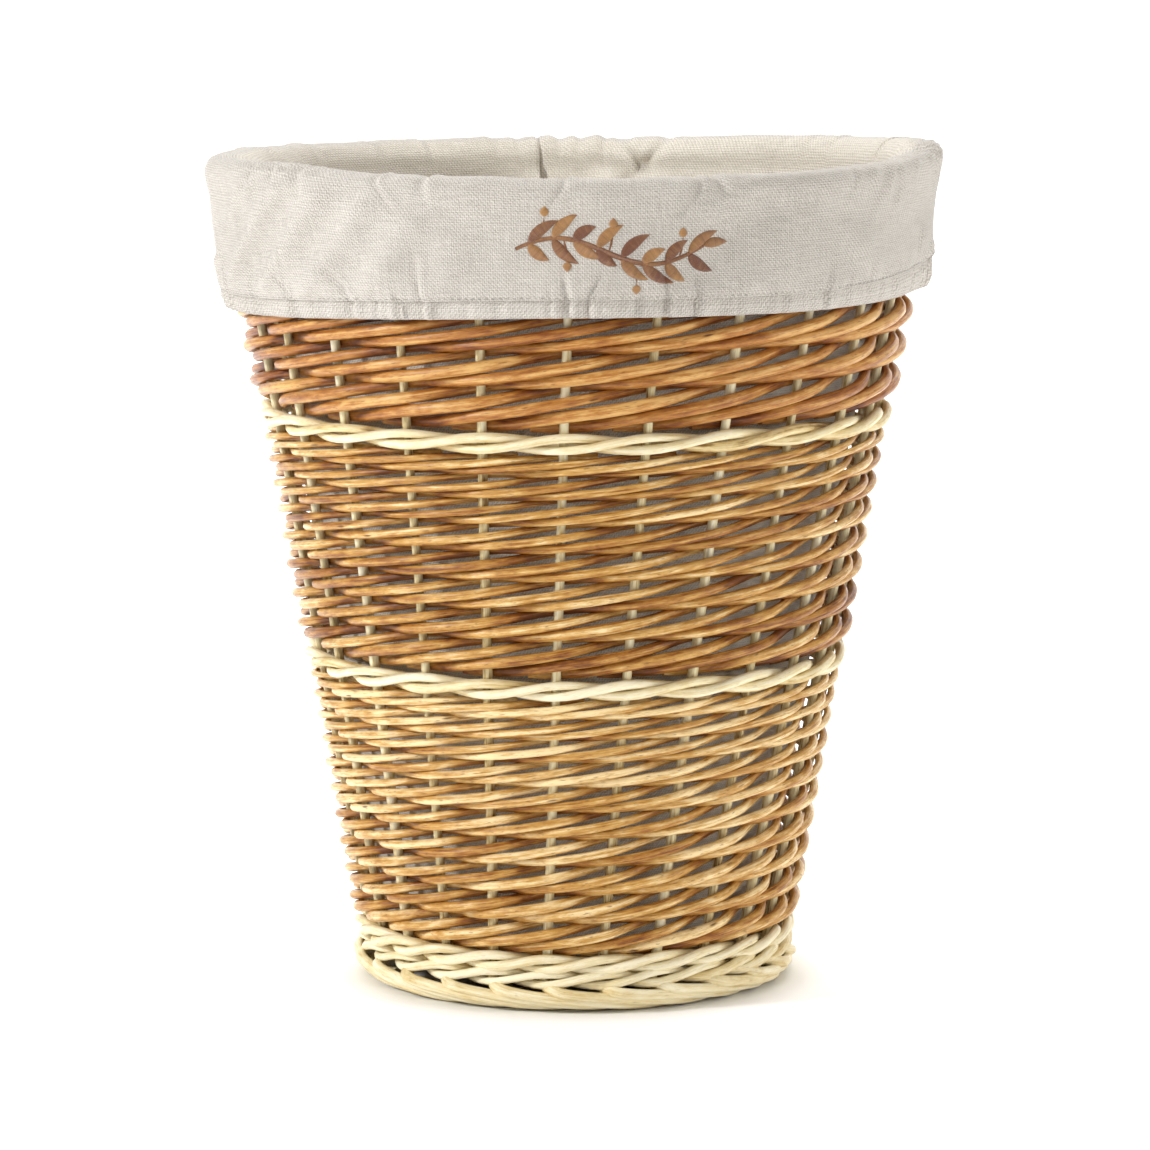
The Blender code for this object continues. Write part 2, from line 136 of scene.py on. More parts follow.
class BasketWeave(bpy.types.PropertyGroup):
    """Sizes of the willow work."""

    stake_butt: length("Stake butt", "Diameter of a stake at the foot", 0.0060)
    stake_tip: length("Stake tip", "Diameter of a stake at the rim", 0.0052)
    siding_butt: length("Siding butt", "Diameter of the buff rods where a siding starts", 0.0064)
    siding_tip: length("Siding tip", "Diameter of the buff rods where a siding ends", 0.0041)
    brown_butt: length("Brown butt", "Diameter of the brown rods under the cuff, where they start", 0.0071)
    brown_tip: length("Brown tip", "Diameter of the brown rods at the rim", 0.0063)
    wale_rod: length("Wale rod", "Diameter of the peeled rods in the wales", 0.0062)
    foot_rod: length("Foot rod", "Diameter of the peeled rods of the foot border", 0.0070)
    base_rod: length("Base rod", "Diameter of the rods woven into the base", 0.0034)


class LinerCloth(bpy.types.PropertyGroup):
    """Sizes of the sewn liner."""

    cloth: length("Cloth", "Thickness of the linen", 0.0011)
    hem_depth: length("Hem depth", "Height of the casing at the cuff's edge", 0.0112)
    hem_extra: length("Hem extra", "How much deeper the casing is on the right", 0.0075)
    hem_level: length("Hem level", "Height of the cuff's lower edge above the floor", 0.4208)
    hem_drop: length("Hem drop", "How much lower the edge hangs on the left", 0.0088)
    pucker: length("Pucker", "Depth of the gathers along the hem", 0.0017)


class BasketColours(bpy.types.PropertyGroup):
    """Colours of the willow, the linen and the thread."""

    buff: colour("Buff willow", "Boiled and peeled rods", linear(205, 157, 80))
    # buff_deep is the buff rods' darker streaks and also their painted shade where they cross inside the
    # wall.
    buff_deep: colour("Buff willow, deep", "The darker streaks of the buff rods", linear(160, 101, 35))
    buff_pale: colour("Buff willow, pale", "The lighter streaks of the buff rods", linear(248, 222, 168))
    brown: colour("Brown willow", "Darker rods under the cuff", linear(184, 122, 52))
    # brown_deep is the brown rods' reddish streaks and also their painted shade where they cross inside the
    # wall.
    brown_deep: colour("Brown willow, deep", "The reddish streaks of the brown rods", linear(137, 76, 25))
    brown_pale: colour("Brown willow, pale", "The lighter streaks of the brown rods", linear(222, 176, 106))
    peeled: colour("Peeled willow", "White willow of the wales and the foot", linear(236, 219, 172))
    stake: colour("Stake", "The stakes between the rods", linear(236, 224, 180))
    linen: colour("Linen", "The liner's cloth", linear(211, 205, 197))
    thread_dark: colour("Dark thread", "The darker embroidery thread", linear(128, 68, 28))
    thread_gold: colour("Gold thread", "The lighter embroidery thread", linear(208, 152, 82))
    backdrop: colour("Backdrop", "Floor and backdrop", linear(250, 250, 250))


def weave():
    return bpy.context.scene.basket_weave


def cloth():
    return bpy.context.scene.basket_cloth


def tint(name):
    return (*getattr(bpy.context.scene.basket_colours, name), 1.0)


# ---------------------------------------------------------------- the basket's form


def wall_radius(z):
    """The woven wall's outer face."""
    return FOOT_RADIUS + SLOPE * z


def inner_radius(z):
    """The woven wall's inner face."""
    return wall_radius(z) - WALL


def stake_radius(z):
    return wall_radius(z) - HALF_WALL


def on_circle(radius, angle, z):
    return Vector((radius * math.cos(angle), radius * math.sin(angle), z))


LEAN = math.radians(7)  # how far a stake turns round the basket as it rises
BEND = 0.012  # radius of a stake's bend, from the base to the wall
TAIL = 0.046  # length of a stake lying in the base
STAKE_STEPS = 24
FIRST_STAKE = -math.pi / 2 - SPACING / 2  # just left of the front
STAKE_FOOT = BASE_LEVEL + BEND * (1 - math.cos(math.pi / 2 - math.atan(SLOPE)))


def stake_place(number, z):
    """A stake's radius and angle at a height. Number may lie between two stakes."""
    share = (z - STAKE_FOOT) / (STAKE_TOP - STAKE_FOOT)
    foot = Vector((stake_radius(STAKE_FOOT), 0))
    tip = stake_radius(STAKE_TOP) * Vector((math.cos(LEAN), math.sin(LEAN)))
    here = foot.lerp(tip, share)
    return here.length, FIRST_STAKE + number * SPACING + math.atan2(here.y, here.x)


def taper(butt, tip, share):
    """A thickness or length part of the way from one to another."""
    return butt * (1 - share) + tip * share


def stake_half(z):
    """Half a stake's thickness at a height."""
    share = min(max(z / STAKE_TOP, 0), 1)
    return taper(weave().stake_butt, weave().stake_tip, share) / 2


def through(values, at):
    """A smooth line through evenly spaced values, read between them."""
    at = min(max(at, 0), len(values) - 1)
    index = min(int(at), len(values) - 2)
    t = at - index
    last = len(values) - 1
    a, b, c, d = (values[min(max(index + step, 0), last)] for step in (-1, 0, 1, 2))
    return 0.5 * (
        2 * b + (c - a) * t + (2 * a - 5 * b + 4 * c - d) * t * t + (3 * b - a - 3 * c + d) * t**3
    )


def smooth(low, high, value):
    """0 below low, 1 above high, and an even curve between them."""
    t = min(max((value - low) / (high - low), 0), 1)
    return t * t * (3 - 2 * t)


# ---------------------------------------------------------------- bench work

MILLIMETRES = 1000  # in a metre
HALF_ROD = 0.0026
ROD_EDGE = 50  # degrees; sharper edges on willow stay crisp
CLOTH_EDGE = 70


def deselect():
    bpy.ops.object.select_all(action="DESELECT")


def only(*objects):
    """Selects these objects and nothing else."""
    deselect()
    for obj in objects:
        obj.select_set(True)
    bpy.context.view_layer.objects.active = objects[0]


def edit(obj, *steps):
    """Runs edit mode operators on the whole of an object's mesh."""
    only(obj)
    bpy.ops.object.mode_set(mode="EDIT")
    bpy.ops.mesh.select_all(action="SELECT")
    for step in steps:
        step()
    bpy.ops.object.mode_set(mode="OBJECT")


def merge_doubles():
    bpy.ops.mesh.remove_doubles(threshold=1e-6)


def face_outwards():
    bpy.ops.mesh.normals_make_consistent(inside=False)


def smooth_shade(obj, degrees):
    only(obj)
    bpy.ops.object.shade_smooth_by_angle(angle=math.radians(degrees))


def cut_rod(name, route, corners=8):
    """A rod bent along a route of (place, thickness), with flat cut ends."""
    deselect()
    bpy.ops.curve.primitive_nurbs_path_add()
    rod = bpy.context.object
    rod.name = name
    line = rod.data
    line.splines.clear()
    spline = line.splines.new("POLY")
    spline.points.add(len(route) - 1)
    for point, (place, thickness) in zip(spline.points, route):
        point.co = (*place, 1)
        point.radius = thickness * MILLIMETRES
    line.bevel_depth = 0.5 / MILLIMETRES
    line.bevel_resolution = corners // 2 - 2
    line.use_fill_caps = True
    line.twist_mode = "MINIMUM"
    bpy.ops.object.convert(target="MESH")
    rod = bpy.context.object
    edit(rod, merge_doubles, face_outwards)
    measure_grain(rod, route)
    return rod


def path_length(places):
    return sum((b - a).length for a, b in zip(places, places[1:]))


def point_value(mesh, name, values):
    """Stores a number at each point, for the materials to read."""
    mesh.attributes.new(name, "FLOAT", "POINT").data.foreach_set("value", values)


def measure_grain(rod, route):
    """Turns the rod's UV map into metres, and keeps each point's share of the rod's length."""
    reach = path_length([place for place, _ in route])
    girth = math.pi * sum(thickness for _, thickness in route) / len(route)
    mesh = rod.data
    uv = mesh.uv_layers[0].data
    shares = [0.0] * len(mesh.vertices)
    for loop in mesh.loops:
        shares[loop.vertex_index] = uv[loop.index].uv.x
    for point in uv:
        point.uv = (point.uv.x * reach, point.uv.y * girth)
    point_value(mesh, "share", shares)


def new_copy(original, name):
    """A copy with its own mesh."""
    copy = original.copy()
    copy.data = original.data.copy()
    copy.name = name
    bpy.context.scene.collection.objects.link(copy)
    return copy


def work_by_hand(rod, chance, fatten=0.10, sway=0.0004, deeper=0.0):
    """Gives one rod its own thickness, grain, tone and slight waviness."""
    mesh = rod.data
    thicker = chance.uniform(-fatten, fatten)
    shift = Vector((chance.uniform(0, 50), chance.uniform(0, 50), chance.uniform(0, 50)))
    for vertex in mesh.vertices:
        here = vertex.co
        swell = thicker + 0.12 * noise.noise(here * 60 + shift)
        sag = Vector((0, 0, 0.0009 * noise.noise(here * 11)))
        bow = noise.noise_vector(here * 22 + shift) * sway
        vertex.co = here + vertex.normal * swell * HALF_ROD + bow + sag
    offset = Vector((chance.uniform(0, 9), chance.uniform(0, 9)))
    for point in mesh.uv_layers[0].data:
        point.uv += offset
    point_value(mesh, "tone", [chance.random() + deeper] * len(mesh.vertices))


def lay_round(name, rod, turns, chance, **work):
    """Copies of a rod, one for each number of stakes to turn by, joined into one piece."""
    copies = []
    for number in turns:
        copy = new_copy(rod, f"{name}_{number}")
        copy.data.transform(Matrix.Rotation(number * SPACING, 4, "Z"))
        work_by_hand(copy, chance, **work)
        copies.append(copy)
    bpy.data.objects.remove(rod)
    return join(name, copies)


def join(name, objects):
    only(*objects)
    if len(objects) > 1:
        bpy.ops.object.join()
    made = bpy.context.view_layer.objects.active
    made.name = name
    made.data.name = name
    smooth_shade(made, ROD_EDGE)
    return made


def place_piece(piece, body, slot, *nodes):
    """Gives a finished piece its material, its body and the CAD nodes it stands for."""
    piece.data.materials.clear()
    piece.data.materials.append(finishes()[slot])
    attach(piece, body)
    if nodes:
        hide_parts(*nodes)
    return piece


# ---------------------------------------------------------------- rods round the stakes

STEPS = 6  # points on a rod from one stake to the next
BORDER_STEPS = 44  # points on a border's rod
TIP_SHARE = 0.86  # a peeled rod's tip, as a share of its butt
SIDING_END = 0.42  # how far a siding's rod runs on past its last stake, in stakes
WALE_END = 0.3  # the same for a wale's rod
WALE_OVERLAP = 0.0008  # how far a wale's rod rises over its own start
WALE_RISE = 0.56  # how far a wale's rod climbs from the middle, as a share of its thickness
RIM_ROD = 0.0058
CROSS_RADIUS = 0.037  # the pairing stops here, where the sticks cross


def row_levels(bottom, top, rows, fine):
    """The height of each row's middle: even at first, then closer as the rods thin out."""
    gaps = [1 - (1 - fine) * (row / (rows - 1)) ** 2.4 for row in range(rows)]
    scale = (top - bottom) / sum(gaps)
    levels, z = [], bottom
    for gap in gaps:
        levels.append(z + gap * scale / 2)
        z += gap * scale
    return levels


NESTLE = 0.0016  # how far a siding settles into the wale above and below it
LIFT = 0.30  # how far a rod rides up behind a stake, in rows


def woven_route(first, last, side, height, thickness):
    """A rod in and out of the stakes, between two places counted in stakes.

    side says at each stake how far out the rod passes, height gives its height
    at a place, and thickness its thickness at a share of its length.
    """
    route = []
    count = round((last - first) * STEPS)
    for index in range(count + 1):
        at = first + (last - first) * index / count
        z = height(at)
        thick = thickness(index / count)
        reach = stake_half(z) + thick / 2
        radius, angle = stake_place(at, z)
        route.append((on_circle(radius + through(side, at) * reach, angle, z), thick))
    return route


def siding_route(bottom, top, rows, fine, butt, tip):
    """In front of two stakes, behind one, and up a row at each stake."""
    levels = row_levels(bottom - NESTLE, top + NESTLE, rows, fine)
    side = [(-1, 0.97, 1.10)[row % 3] for row in range(rows)]
    rows_up = [row + LIFT * (1, 0, 0.35)[row % 3] * (0 < row < rows - 1) for row in range(rows)]

    def height(at):
        return through(levels, through(rows_up, at))

    def thickness(share):
        return taper(butt, tip, share) * (1 if share else 0.9)

    return woven_route(-SIDING_END, rows - 1 + SIDING_END, side, height, thickness)


def wale_route(middle, thick, rise):
    """A waling rod: in front of two stakes as it climbs, then down behind the third."""
    side = [-1 if stake % 3 == 0 else 1 for stake in range(STAKES + 1)]
    level = [(-0.2 * rise, -rise, rise)[stake % 3] for stake in range(STAKES + 1)]

    def height(at):
        return middle + through(level, at) + (WALE_OVERLAP if at > STAKES else 0)

    def thickness(share):
        return thick * (1 - (1 - TIP_SHARE) * share)

    return woven_route(-WALE_END, STAKES + WALE_END, side, height, thickness)


def route_through(stations, count, butt, tip):
    """A rod through (stake number, radius, height) stations, in cylinder coordinates."""
    route = []
    for index in range(count + 1):
        share = index / count
        at = (len(stations) - 1) * index / count
        number, radius, z = (through([place[axis] for place in stations], at) for axis in range(3))
        angle = stake_place(number, z)[1]
        route.append((on_circle(radius, angle, z), taper(butt, tip, share)))
    return route


# ---------------------------------------------------------------- materials

LINEN_PITCH = 0.0013  # metres from thread to thread
SATIN_PITCH = 0.00042
RIB_PITCH = 0.0009
KNIT_PITCH = 0.0013


def arithmetic(operation, swapped=False):
    """A method of Wire that adds a Math node."""

    def method(self, *others):
        values = (*others, self) if swapped else (self, *others)
        return self.finish.node("ShaderNodeMath", {"operation": operation}, dict(enumerate(values)))[0]

    return method


class Wire:
    """An output in a material's node tree. Arithmetic on it adds Math nodes."""

    def __init__(self, finish, socket):
        self.finish = finish
        self.socket = socket

    __add__ = arithmetic("ADD")
    __radd__ = arithmetic("ADD", swapped=True)
    __sub__ = arithmetic("SUBTRACT")
    __rsub__ = arithmetic("SUBTRACT", swapped=True)
    __mul__ = arithmetic("MULTIPLY")
    __rmul__ = arithmetic("MULTIPLY", swapped=True)
    __truediv__ = arithmetic("DIVIDE")
    __pow__ = arithmetic("POWER")
    __abs__ = arithmetic("ABSOLUTE")
    sine = arithmetic("SINE")
    over = arithmetic("GREATER_THAN")

    def wave(self, every):
        """Rises and falls between 0 and 1 once in every length."""
        return (self * (TAU / every)).sine() * 0.5 + 0.5

    def clamped(self):
        return self.finish.node("ShaderNodeClamp", {}, {"Value": self, "Min": 0.0, "Max": 1.0})[0]

    def between(self, low, high):
        """0 at low, 1 at high, smooth between them."""
        return self.finish.node(
            "ShaderNodeMapRange", {"interpolation_type": "SMOOTHSTEP"},
            {"Value": self, "From Min": low, "From Max": high, "To Min": 0.0, "To Max": 1.0},
        )[0]


class Made:
    """A node whose outputs are read by number or name, as wires."""

    def __init__(self, finish, node):
        self.finish = finish
        self.node = node

    def __getitem__(self, key):
        return Wire(self.finish, self.node.outputs[key])


class Finish:
    """A material being built."""

    def __init__(self, name):
        self.material = bpy.data.materials.new(name)
        self.material.use_nodes = True
        self.tree = self.material.node_tree
        self.tree.nodes.clear()

    def node(self, kind, settings=None, sockets=None):
        """Any node: its type, its settings, then its sockets' values or links."""
        node = self.tree.nodes.new(kind)
        for key, value in (settings or {}).items():
            if key == "stops":
                elements = node.color_ramp.elements
                while len(elements) < len(value):
                    elements.new(0.5)
                for element, (position, tone) in zip(elements, value):
                    element.position = position
                    element.color = tone
            else:
                setattr(node, key, value)
        for key, value in (sockets or {}).items():
            if isinstance(value, Wire):
                self.tree.links.new(value.socket, node.inputs[key])
            else:
                node.inputs[key].default_value = value
        return Made(self, node)

    def mix(self, share, first, second):
        """One colour turning into another."""
        return self.node(
            "ShaderNodeMix", {"data_type": "RGBA", "clamp_factor": True}, {0: share, 6: first, 7: second}
        )[2]

    def place(self, source="Object"):
        return self.node("ShaderNodeTexCoord")[source]

    def attribute(self, name):
        return self.node("ShaderNodeAttribute", {"attribute_name": name})["Fac"]

    def stretched(self, place, scale):
        return self.node("ShaderNodeMapping", {}, {"Vector": place, "Scale": scale})[0]

    def grain(self, place, scale, detail=3.0, roughness=0.55):
        """Fractal noise, stretched by a number of lumps per metre each way."""
        return self.node(
            "ShaderNodeTexNoise", {"noise_dimensions": "3D"},
            {"Vector": self.stretched(place, scale), "Scale": 1.0, "Detail": detail, "Roughness": roughness},
        )["Fac"]

    def parts(self, vector):
        made = self.node("ShaderNodeSeparateXYZ", {}, {0: vector})
        return made["X"], made["Y"], made["Z"]

    def bump(self, height, strength, distance, **under):
        return self.node(
            "ShaderNodeBump", {}, {"Height": height, "Strength": strength, "Distance": distance, **under}
        )[0]

    def finished(self, **sockets):
        """Closes the material with a Principled shader. Sockets take underscores for spaces."""
        named = {key.replace("_", " "): value for key, value in sockets.items()}
        shader = self.node("ShaderNodeBsdfPrincipled", {}, named)
        self.node("ShaderNodeOutputMaterial", {}, {"Surface": shader[0]})
        return self.material


def wall_depth(finish):
    """How far a point lies in from the woven wall's outer face: 0 there and 1 at the inner face."""
    x, y, z = finish.parts(finish.place())
    radius = (x * x + y * y) ** 0.5
    return (FOOT_RADIUS + z * SLOPE - radius) / WALL


def willow(name, pale, middle, deep, red, specks=1.0, gloss=0.40):
    """Willow rod: fibres along it, drifting tone, dark bud scars, painted shade where the rods cross inside
    the wall, and a dull gloss.
    """
    finish = Finish(name)
    along = finish.place("UV")
    share = finish.attribute("share")
    fibres = finish.grain(along, (26.0, 1500.0, 1.0), detail=4.0, roughness=0.6)
    streaks = finish.grain(along, (11.0, 420.0, 1.0), detail=2.0)
    drift = finish.grain(along, (14.0, 30.0, 1.0), detail=3.0)
    blush = finish.grain(along, (5.0, 60.0, 1.0), detail=2.0)
    mottle = finish.grain(along, (70.0, 330.0, 1.0), detail=4.0, roughness=0.65)
    # Painted shade: crease colours the rods darker towards the middle of the wall's thickness, where they
    # cross and tuck behind one another.
    crease = (1 - abs(wall_depth(finish) * 2.0 - 1.0)).between(0.35, 1.0)
    value = 0.06 + finish.attribute("tone") * 0.36 + (drift - 0.5) * 1.2 + (mottle - 0.5) * 1.4
    value = value + (streaks - 0.5) * 1.10 + (fibres - 0.5) * 0.80 + 0.20 - share * 0.26 + crease * 0.30
    # The darkest stop, made from the deep colour, serves both the rods' own darkest streaks and the painted
    # shade of crease.
    stops = [(0.0, pale), (0.38, middle), (0.74, deep), (1.0, dyed(deep, 0.42, 0.31, 0.18))]
    body = finish.node("ShaderNodeValToRGB", {"stops": stops}, {"Fac": value.clamped()})[0]
    reddish = (blush.between(0.52, 0.78) * (1.0 - share * 0.6)) * red
    body = finish.mix(reddish, body, dyed(deep, 1.02, 0.80, 0.62))
    scars = finish.node(
        "ShaderNodeTexVoronoi", {"feature": "F1"},
        {"Vector": finish.stretched(along, (42.0, 190.0, 1.0)), "Scale": 1.0, "Randomness": 1.0},
    )
    rare = finish.grain(along, (18.0, 60.0, 1.0), detail=1.0).between(0.56, 0.66)
    scar = (1.0 - scars["Distance"].between(0.06, 0.20)) * rare * specks
    body = finish.mix(scar * 0.85, body, shade(78, 42, 20))
    flecks = finish.grain(along, (160.0, 900.0, 1.0), detail=1.0).between(0.62, 0.74)
    body = finish.mix(flecks * 0.60 * specks, body, shade(110, 62, 28))
    height = fibres * 0.5 + streaks * 0.35 + mottle * 0.6 + (1.0 - scar) * 0.5
    return finish.finished(
        Base_Color=body,
        Roughness=gloss + (fibres - 0.5) * 0.3 + scar * 0.25,
        Specular_IOR_Level=0.38,
        Coat_Weight=0.14,
        Coat_Roughness=0.24,
        Normal=finish.bump(height, 0.75, 0.0007),
    )


def linen_finish(name, base):
    """Coarse linen: crossing threads with thick slubs and painted shade between the threads, and painted
    light inside the basket, where the cloth is coloured lighter and warmer as if lit by light bounced off
    the willow.
    """
    finish = Finish(name)
    along = finish.place("UV")
    u, v, _ = finish.parts(along)
    warp, weft = u.wave(LINEN_PITCH), v.wave(LINEN_PITCH)
    half_turn = TAU / LINEN_PITCH / 2
    over = ((u * half_turn).sine() * (v * half_turn).sine()).over(0.0)
    threads = warp * over + weft * (1.0 - over)
    slub_a = finish.grain(along, (60.0, 1300.0, 1.0), detail=3.0, roughness=0.65)
    slub_b = finish.grain(along, (1300.0, 60.0, 1.0), detail=3.0, roughness=0.65)
    slubs = slub_a * 0.55 + slub_b * 0.45
    knots = finish.grain(along, (330.0, 760.0, 1.0), detail=2.0).between(0.62, 0.80)
    cloudy = finish.grain(finish.place(), (7.0, 7.0, 7.0), detail=2.0)
    speckle = finish.grain(along, (1300.0, 1300.0, 1.0), detail=2.0)
    # Painted light: inside the basket the cloth is coloured lighter and warmer, standing in for light
    # bounced in off the willow.
    inner = wall_depth(finish).between(0.75, 1.05)
    light, dark = dyed(base, 1.18, 1.18, 1.18), dyed(base, 0.52, 0.50, 0.47)
    light = finish.mix(inner, light, dyed(light, 1.11, 1.10, 1.06))
    dark = finish.mix(inner, dark, dyed(dark, 1.32, 1.30, 1.22))
    tone = (slubs - 0.5) * 1.7 + 0.36 + (cloudy - 0.5) * 0.45
    # The threads term is painted shade: darker in the hollows between the threads and lighter on their
    # crowns; slubs, cloudiness and speckle are the cloth's own tone.
    tone = tone + (0.5 - threads) * 0.60 + (speckle - 0.5) * 1.4
    body = finish.mix(tone.clamped(), light, dark)
    body = finish.mix(knots * 0.35, body, shade(176, 160, 138))
    return finish.finished(
        Base_Color=body,
        Roughness=0.86 + (slubs - 0.5) * 0.2,
        Specular_IOR_Level=0.25,
        Sheen_Weight=0.18,
        Sheen_Roughness=0.5,
        Normal=finish.bump(threads + speckle * 0.5, 0.8, 0.0005, Normal=finish.bump(slubs, 0.55, 0.0006)),
    )


def thread_finish(name, dark, gold):
    """Satin stitch: fine glossy threads side by side, shaded from brown to gold, with painted shade in the
    grooves between them.
    """
    finish = Finish(name)
    along = finish.place("UV")
    threads = finish.parts(along)[0].wave(SATIN_PITCH)
    waver = finish.grain(along, (900.0, 60.0, 1.0), detail=3.0)
    patches = finish.grain(finish.place(), (85.0, 85.0, 85.0), detail=2.0)
    share = ((patches - 0.5) * 1.2 + (waver - 0.5) * 1.2 + finish.attribute("gold")).clamped()
    body = finish.mix(share, dark, gold)
    # Painted shade: the grooves between the satin threads are coloured darker.
    body = finish.mix((1.0 - threads) * 0.45, body, dyed(dark, 0.35, 0.35, 0.35))
    return finish.finished(
        Base_Color=body,
        Roughness=0.36 + waver * 0.2,
        Specular_IOR_Level=0.6,
        Sheen_Weight=0.3,
        Normal=finish.bump(threads * 0.8 + waver * 0.4, 0.8, 0.0004),
    )


def elastic_finish(name):
    """Knitted elastic: fine ribs across the band, with painted shade in the hollows between them."""
    finish = Finish(name)
    along = finish.place("UV")
    u, v, _ = finish.parts(along)
    ribs, knit = v.wave(RIB_PITCH), u.wave(KNIT_PITCH)
    wear = finish.grain(along, (120.0, 500.0, 1.0), detail=3.0)
    # Painted light and shade: the ribs' crests are coloured lighter and the hollows between them darker;
    # wear adds the band's own uneven tone.
    body = finish.mix((ribs * 0.4 + wear * 0.6).clamped(), shade(214, 208, 198), shade(246, 244, 238))
    return finish.finished(
        Base_Color=body,
        Roughness=0.7 + (wear - 0.5) * 0.2,
        Normal=finish.bump(ribs * 0.6 + knit * 0.4, 0.6, 0.0004),
    )


@functools.cache
def finishes():
    """Every material, by its slot's name."""
    return {
        # In each willow finish the deep colour also gives the painted shade where rods cross inside the
        # wall.
        "buff_willow": willow("buff willow", tint("buff_pale"), tint("buff"), tint("buff_deep"), 0.08),
        "brown_willow": willow("brown willow", tint("brown_pale"), tint("brown"), tint("brown_deep"), 0.16),
        "peeled_willow": willow(
            "peeled willow", shade(250, 240, 208), tint("peeled"), shade(214, 186, 124),
            red=0.04, specks=0.35, gloss=0.46,
        ),
        "stake_willow": willow(
            "stake willow", shade(246, 240, 212), tint("stake"), shade(200, 178, 124),
            red=0.05, specks=0.5, gloss=0.5,
        ),
        "linen": linen_finish("linen", tint("linen")),
        "embroidery_thread": thread_finish("embroidery thread", tint("thread_dark"), tint("thread_gold")),
        "elastic": elastic_finish("elastic"),
    }


# ---------------------------------------------------------------- willow pieces


def stake_line():
    """A stake's line of (place, thickness): a tail in the base, a bend and a leaning run."""
    butt, tip = weave().stake_butt, weave().stake_tip
    turn = math.pi / 2 - math.atan(SLOPE)
    bend_start = stake_radius(BASE_LEVEL) - BEND * math.tan(turn / 2)
    route = [(bend_start - TAIL * (1 - step / 4), BASE_LEVEL) for step in range(5)]
    for step in range(1, 7):
        part = turn * step / 6
        route.append((bend_start + BEND * math.sin(part), BASE_LEVEL + BEND * (1 - math.cos(part))))
    line = [
        (on_circle(radius, FIRST_STAKE, z), butt * (0.82 + 0.03 * min(step, 6)))
        for step, (radius, z) in enumerate(route)
    ]
    foot = line[-1][0]
    top = STAKE_TOP - 0.0003
    end = on_circle(stake_radius(top), FIRST_STAKE + LEAN, top)
    for step in range(1, STAKE_STEPS + 1):
        share = step / STAKE_STEPS
        line.append((foot.lerp(end, share), taper(butt, tip, share)))
    return line


def weave_stakes():
    """The uprights, one for each CAD stake."""
    chance = random.Random(11)
    stake = cut_rod("stake", stake_line(), corners=12)
    for number in range(STAKES):
        copy = new_copy(stake, f"upright_{number + 1:02d}")
        copy.data.transform(Matrix.Rotation(number * SPACING, 4, "Z"))
        work_by_hand(copy, chance, fatten=0.08, sway=0.0003)
        smooth_shade(copy, ROD_EDGE)
        place_piece(copy, "basket", "stake_willow", f"stake_{number + 1:02d}")
    bpy.data.objects.remove(stake)


def weave_siding(node, rows, fine, butt, tip, slot, seed, deeper=0.0):
    """A siding of as many rods as there are stakes."""
    bottom, top = cad_levels(node)
    rod = cut_rod(node + "_rod", siding_route(bottom, top, rows, fine, butt, tip))
    piece = lay_round(node + "_rods", rod, range(STAKES), random.Random(seed), deeper=deeper)
    place_piece(piece, "basket", slot, node)


def weave_wale(node, rounds, seed):
    """Rounds of three-rod waling."""
    bottom, top = cad_levels(node)
    step = (top - bottom) / rounds
    thick = weave().wale_rod
    chance = random.Random(seed)
    made = []
    for number in range(rounds):
        rod = cut_rod(f"{node}_rod", wale_route(bottom + step * (number + 0.5), thick, thick * WALE_RISE))
        rod.data.transform(Matrix.Rotation(SPACING * (1 + 7 * number), 4, "Z"))
        made.append(lay_round(f"{node}_{number}", rod, range(3), chance, fatten=0.08))
    place_piece(join(node + "_rods", made), "basket", "peeled_willow", node)


def weave_foot_border():
    """Thick rods that turn out below the wale and run down to the right under their neighbours."""
    thick = weave().foot_rod
    outer = cad_radius("foot_border") - thick / 2
    stations = [
        (-0.05, stake_radius(0.02), 0.0215),
        (0.00, stake_radius(0.015) + 0.0020, 0.0160),
    ]
    stations += [(stake, outer + stand_off, z) for stake, stand_off, z in (
        (0.16, 0.0002, 0.0142), (0.34, 0.0022, 0.0128), (0.62, 0.0016, 0.0114), (1.0, 0.0004, 0.0098),
        (1.5, -0.0006, 0.0082), (2.0, -0.0018, 0.0066), (2.5, -0.0040, 0.0050), (3.0, -0.0078, 0.0039),
        (3.4, -0.0125, 0.0036), (3.75, -0.0165, 0.0042),
    )]
    rod = cut_rod("foot_rod", route_through(stations, BORDER_STEPS, thick, thick * TIP_SHARE), corners=12)
    piece = lay_round("foot_border_rods", rod, range(STAKES), random.Random(41), sway=0.0005)
    for vertex in piece.data.vertices:
        vertex.co.z = max(vertex.co.z, 0.0)  # the undersides are worn flat
    place_piece(piece, "basket", "peeled_willow", "foot_border")


def weave_rim_border():
    """The border at the rim: each rod passes over two neighbours and tucks inside."""
    bottom, top = cad_levels("rim_border")
    middle = stake_radius((bottom + top) / 2)
    high = top - RIM_ROD / 2 - 0.0003
    stations = [(0.0, middle - 0.0002, bottom + 0.001), (0.02, middle + 0.0004, bottom + 0.008)]
    stations += [(stake, middle + stand_off, high - drop) for stake, stand_off, drop in (
        (0.22, 0.0030, 0.0028), (0.60, 0.0058, 0.0030), (1.00, 0.0062, 0.0060), (1.50, 0.0052, 0.0066),
        (2.00, 0.0010, 0.0012), (2.50, -0.0030, 0.0), (3.00, -0.0058, 0.0036), (3.40, -0.0060, 0.0082),
    )]
    rod = cut_rod("rim_rod", route_through(stations, BORDER_STEPS, RIM_ROD, RIM_ROD * 0.8), corners=10)
    piece = lay_round("rim_border_rods", rod, range(STAKES), random.Random(43), fatten=0.08)
    place_piece(piece, "basket", "brown_willow", "rim_border")


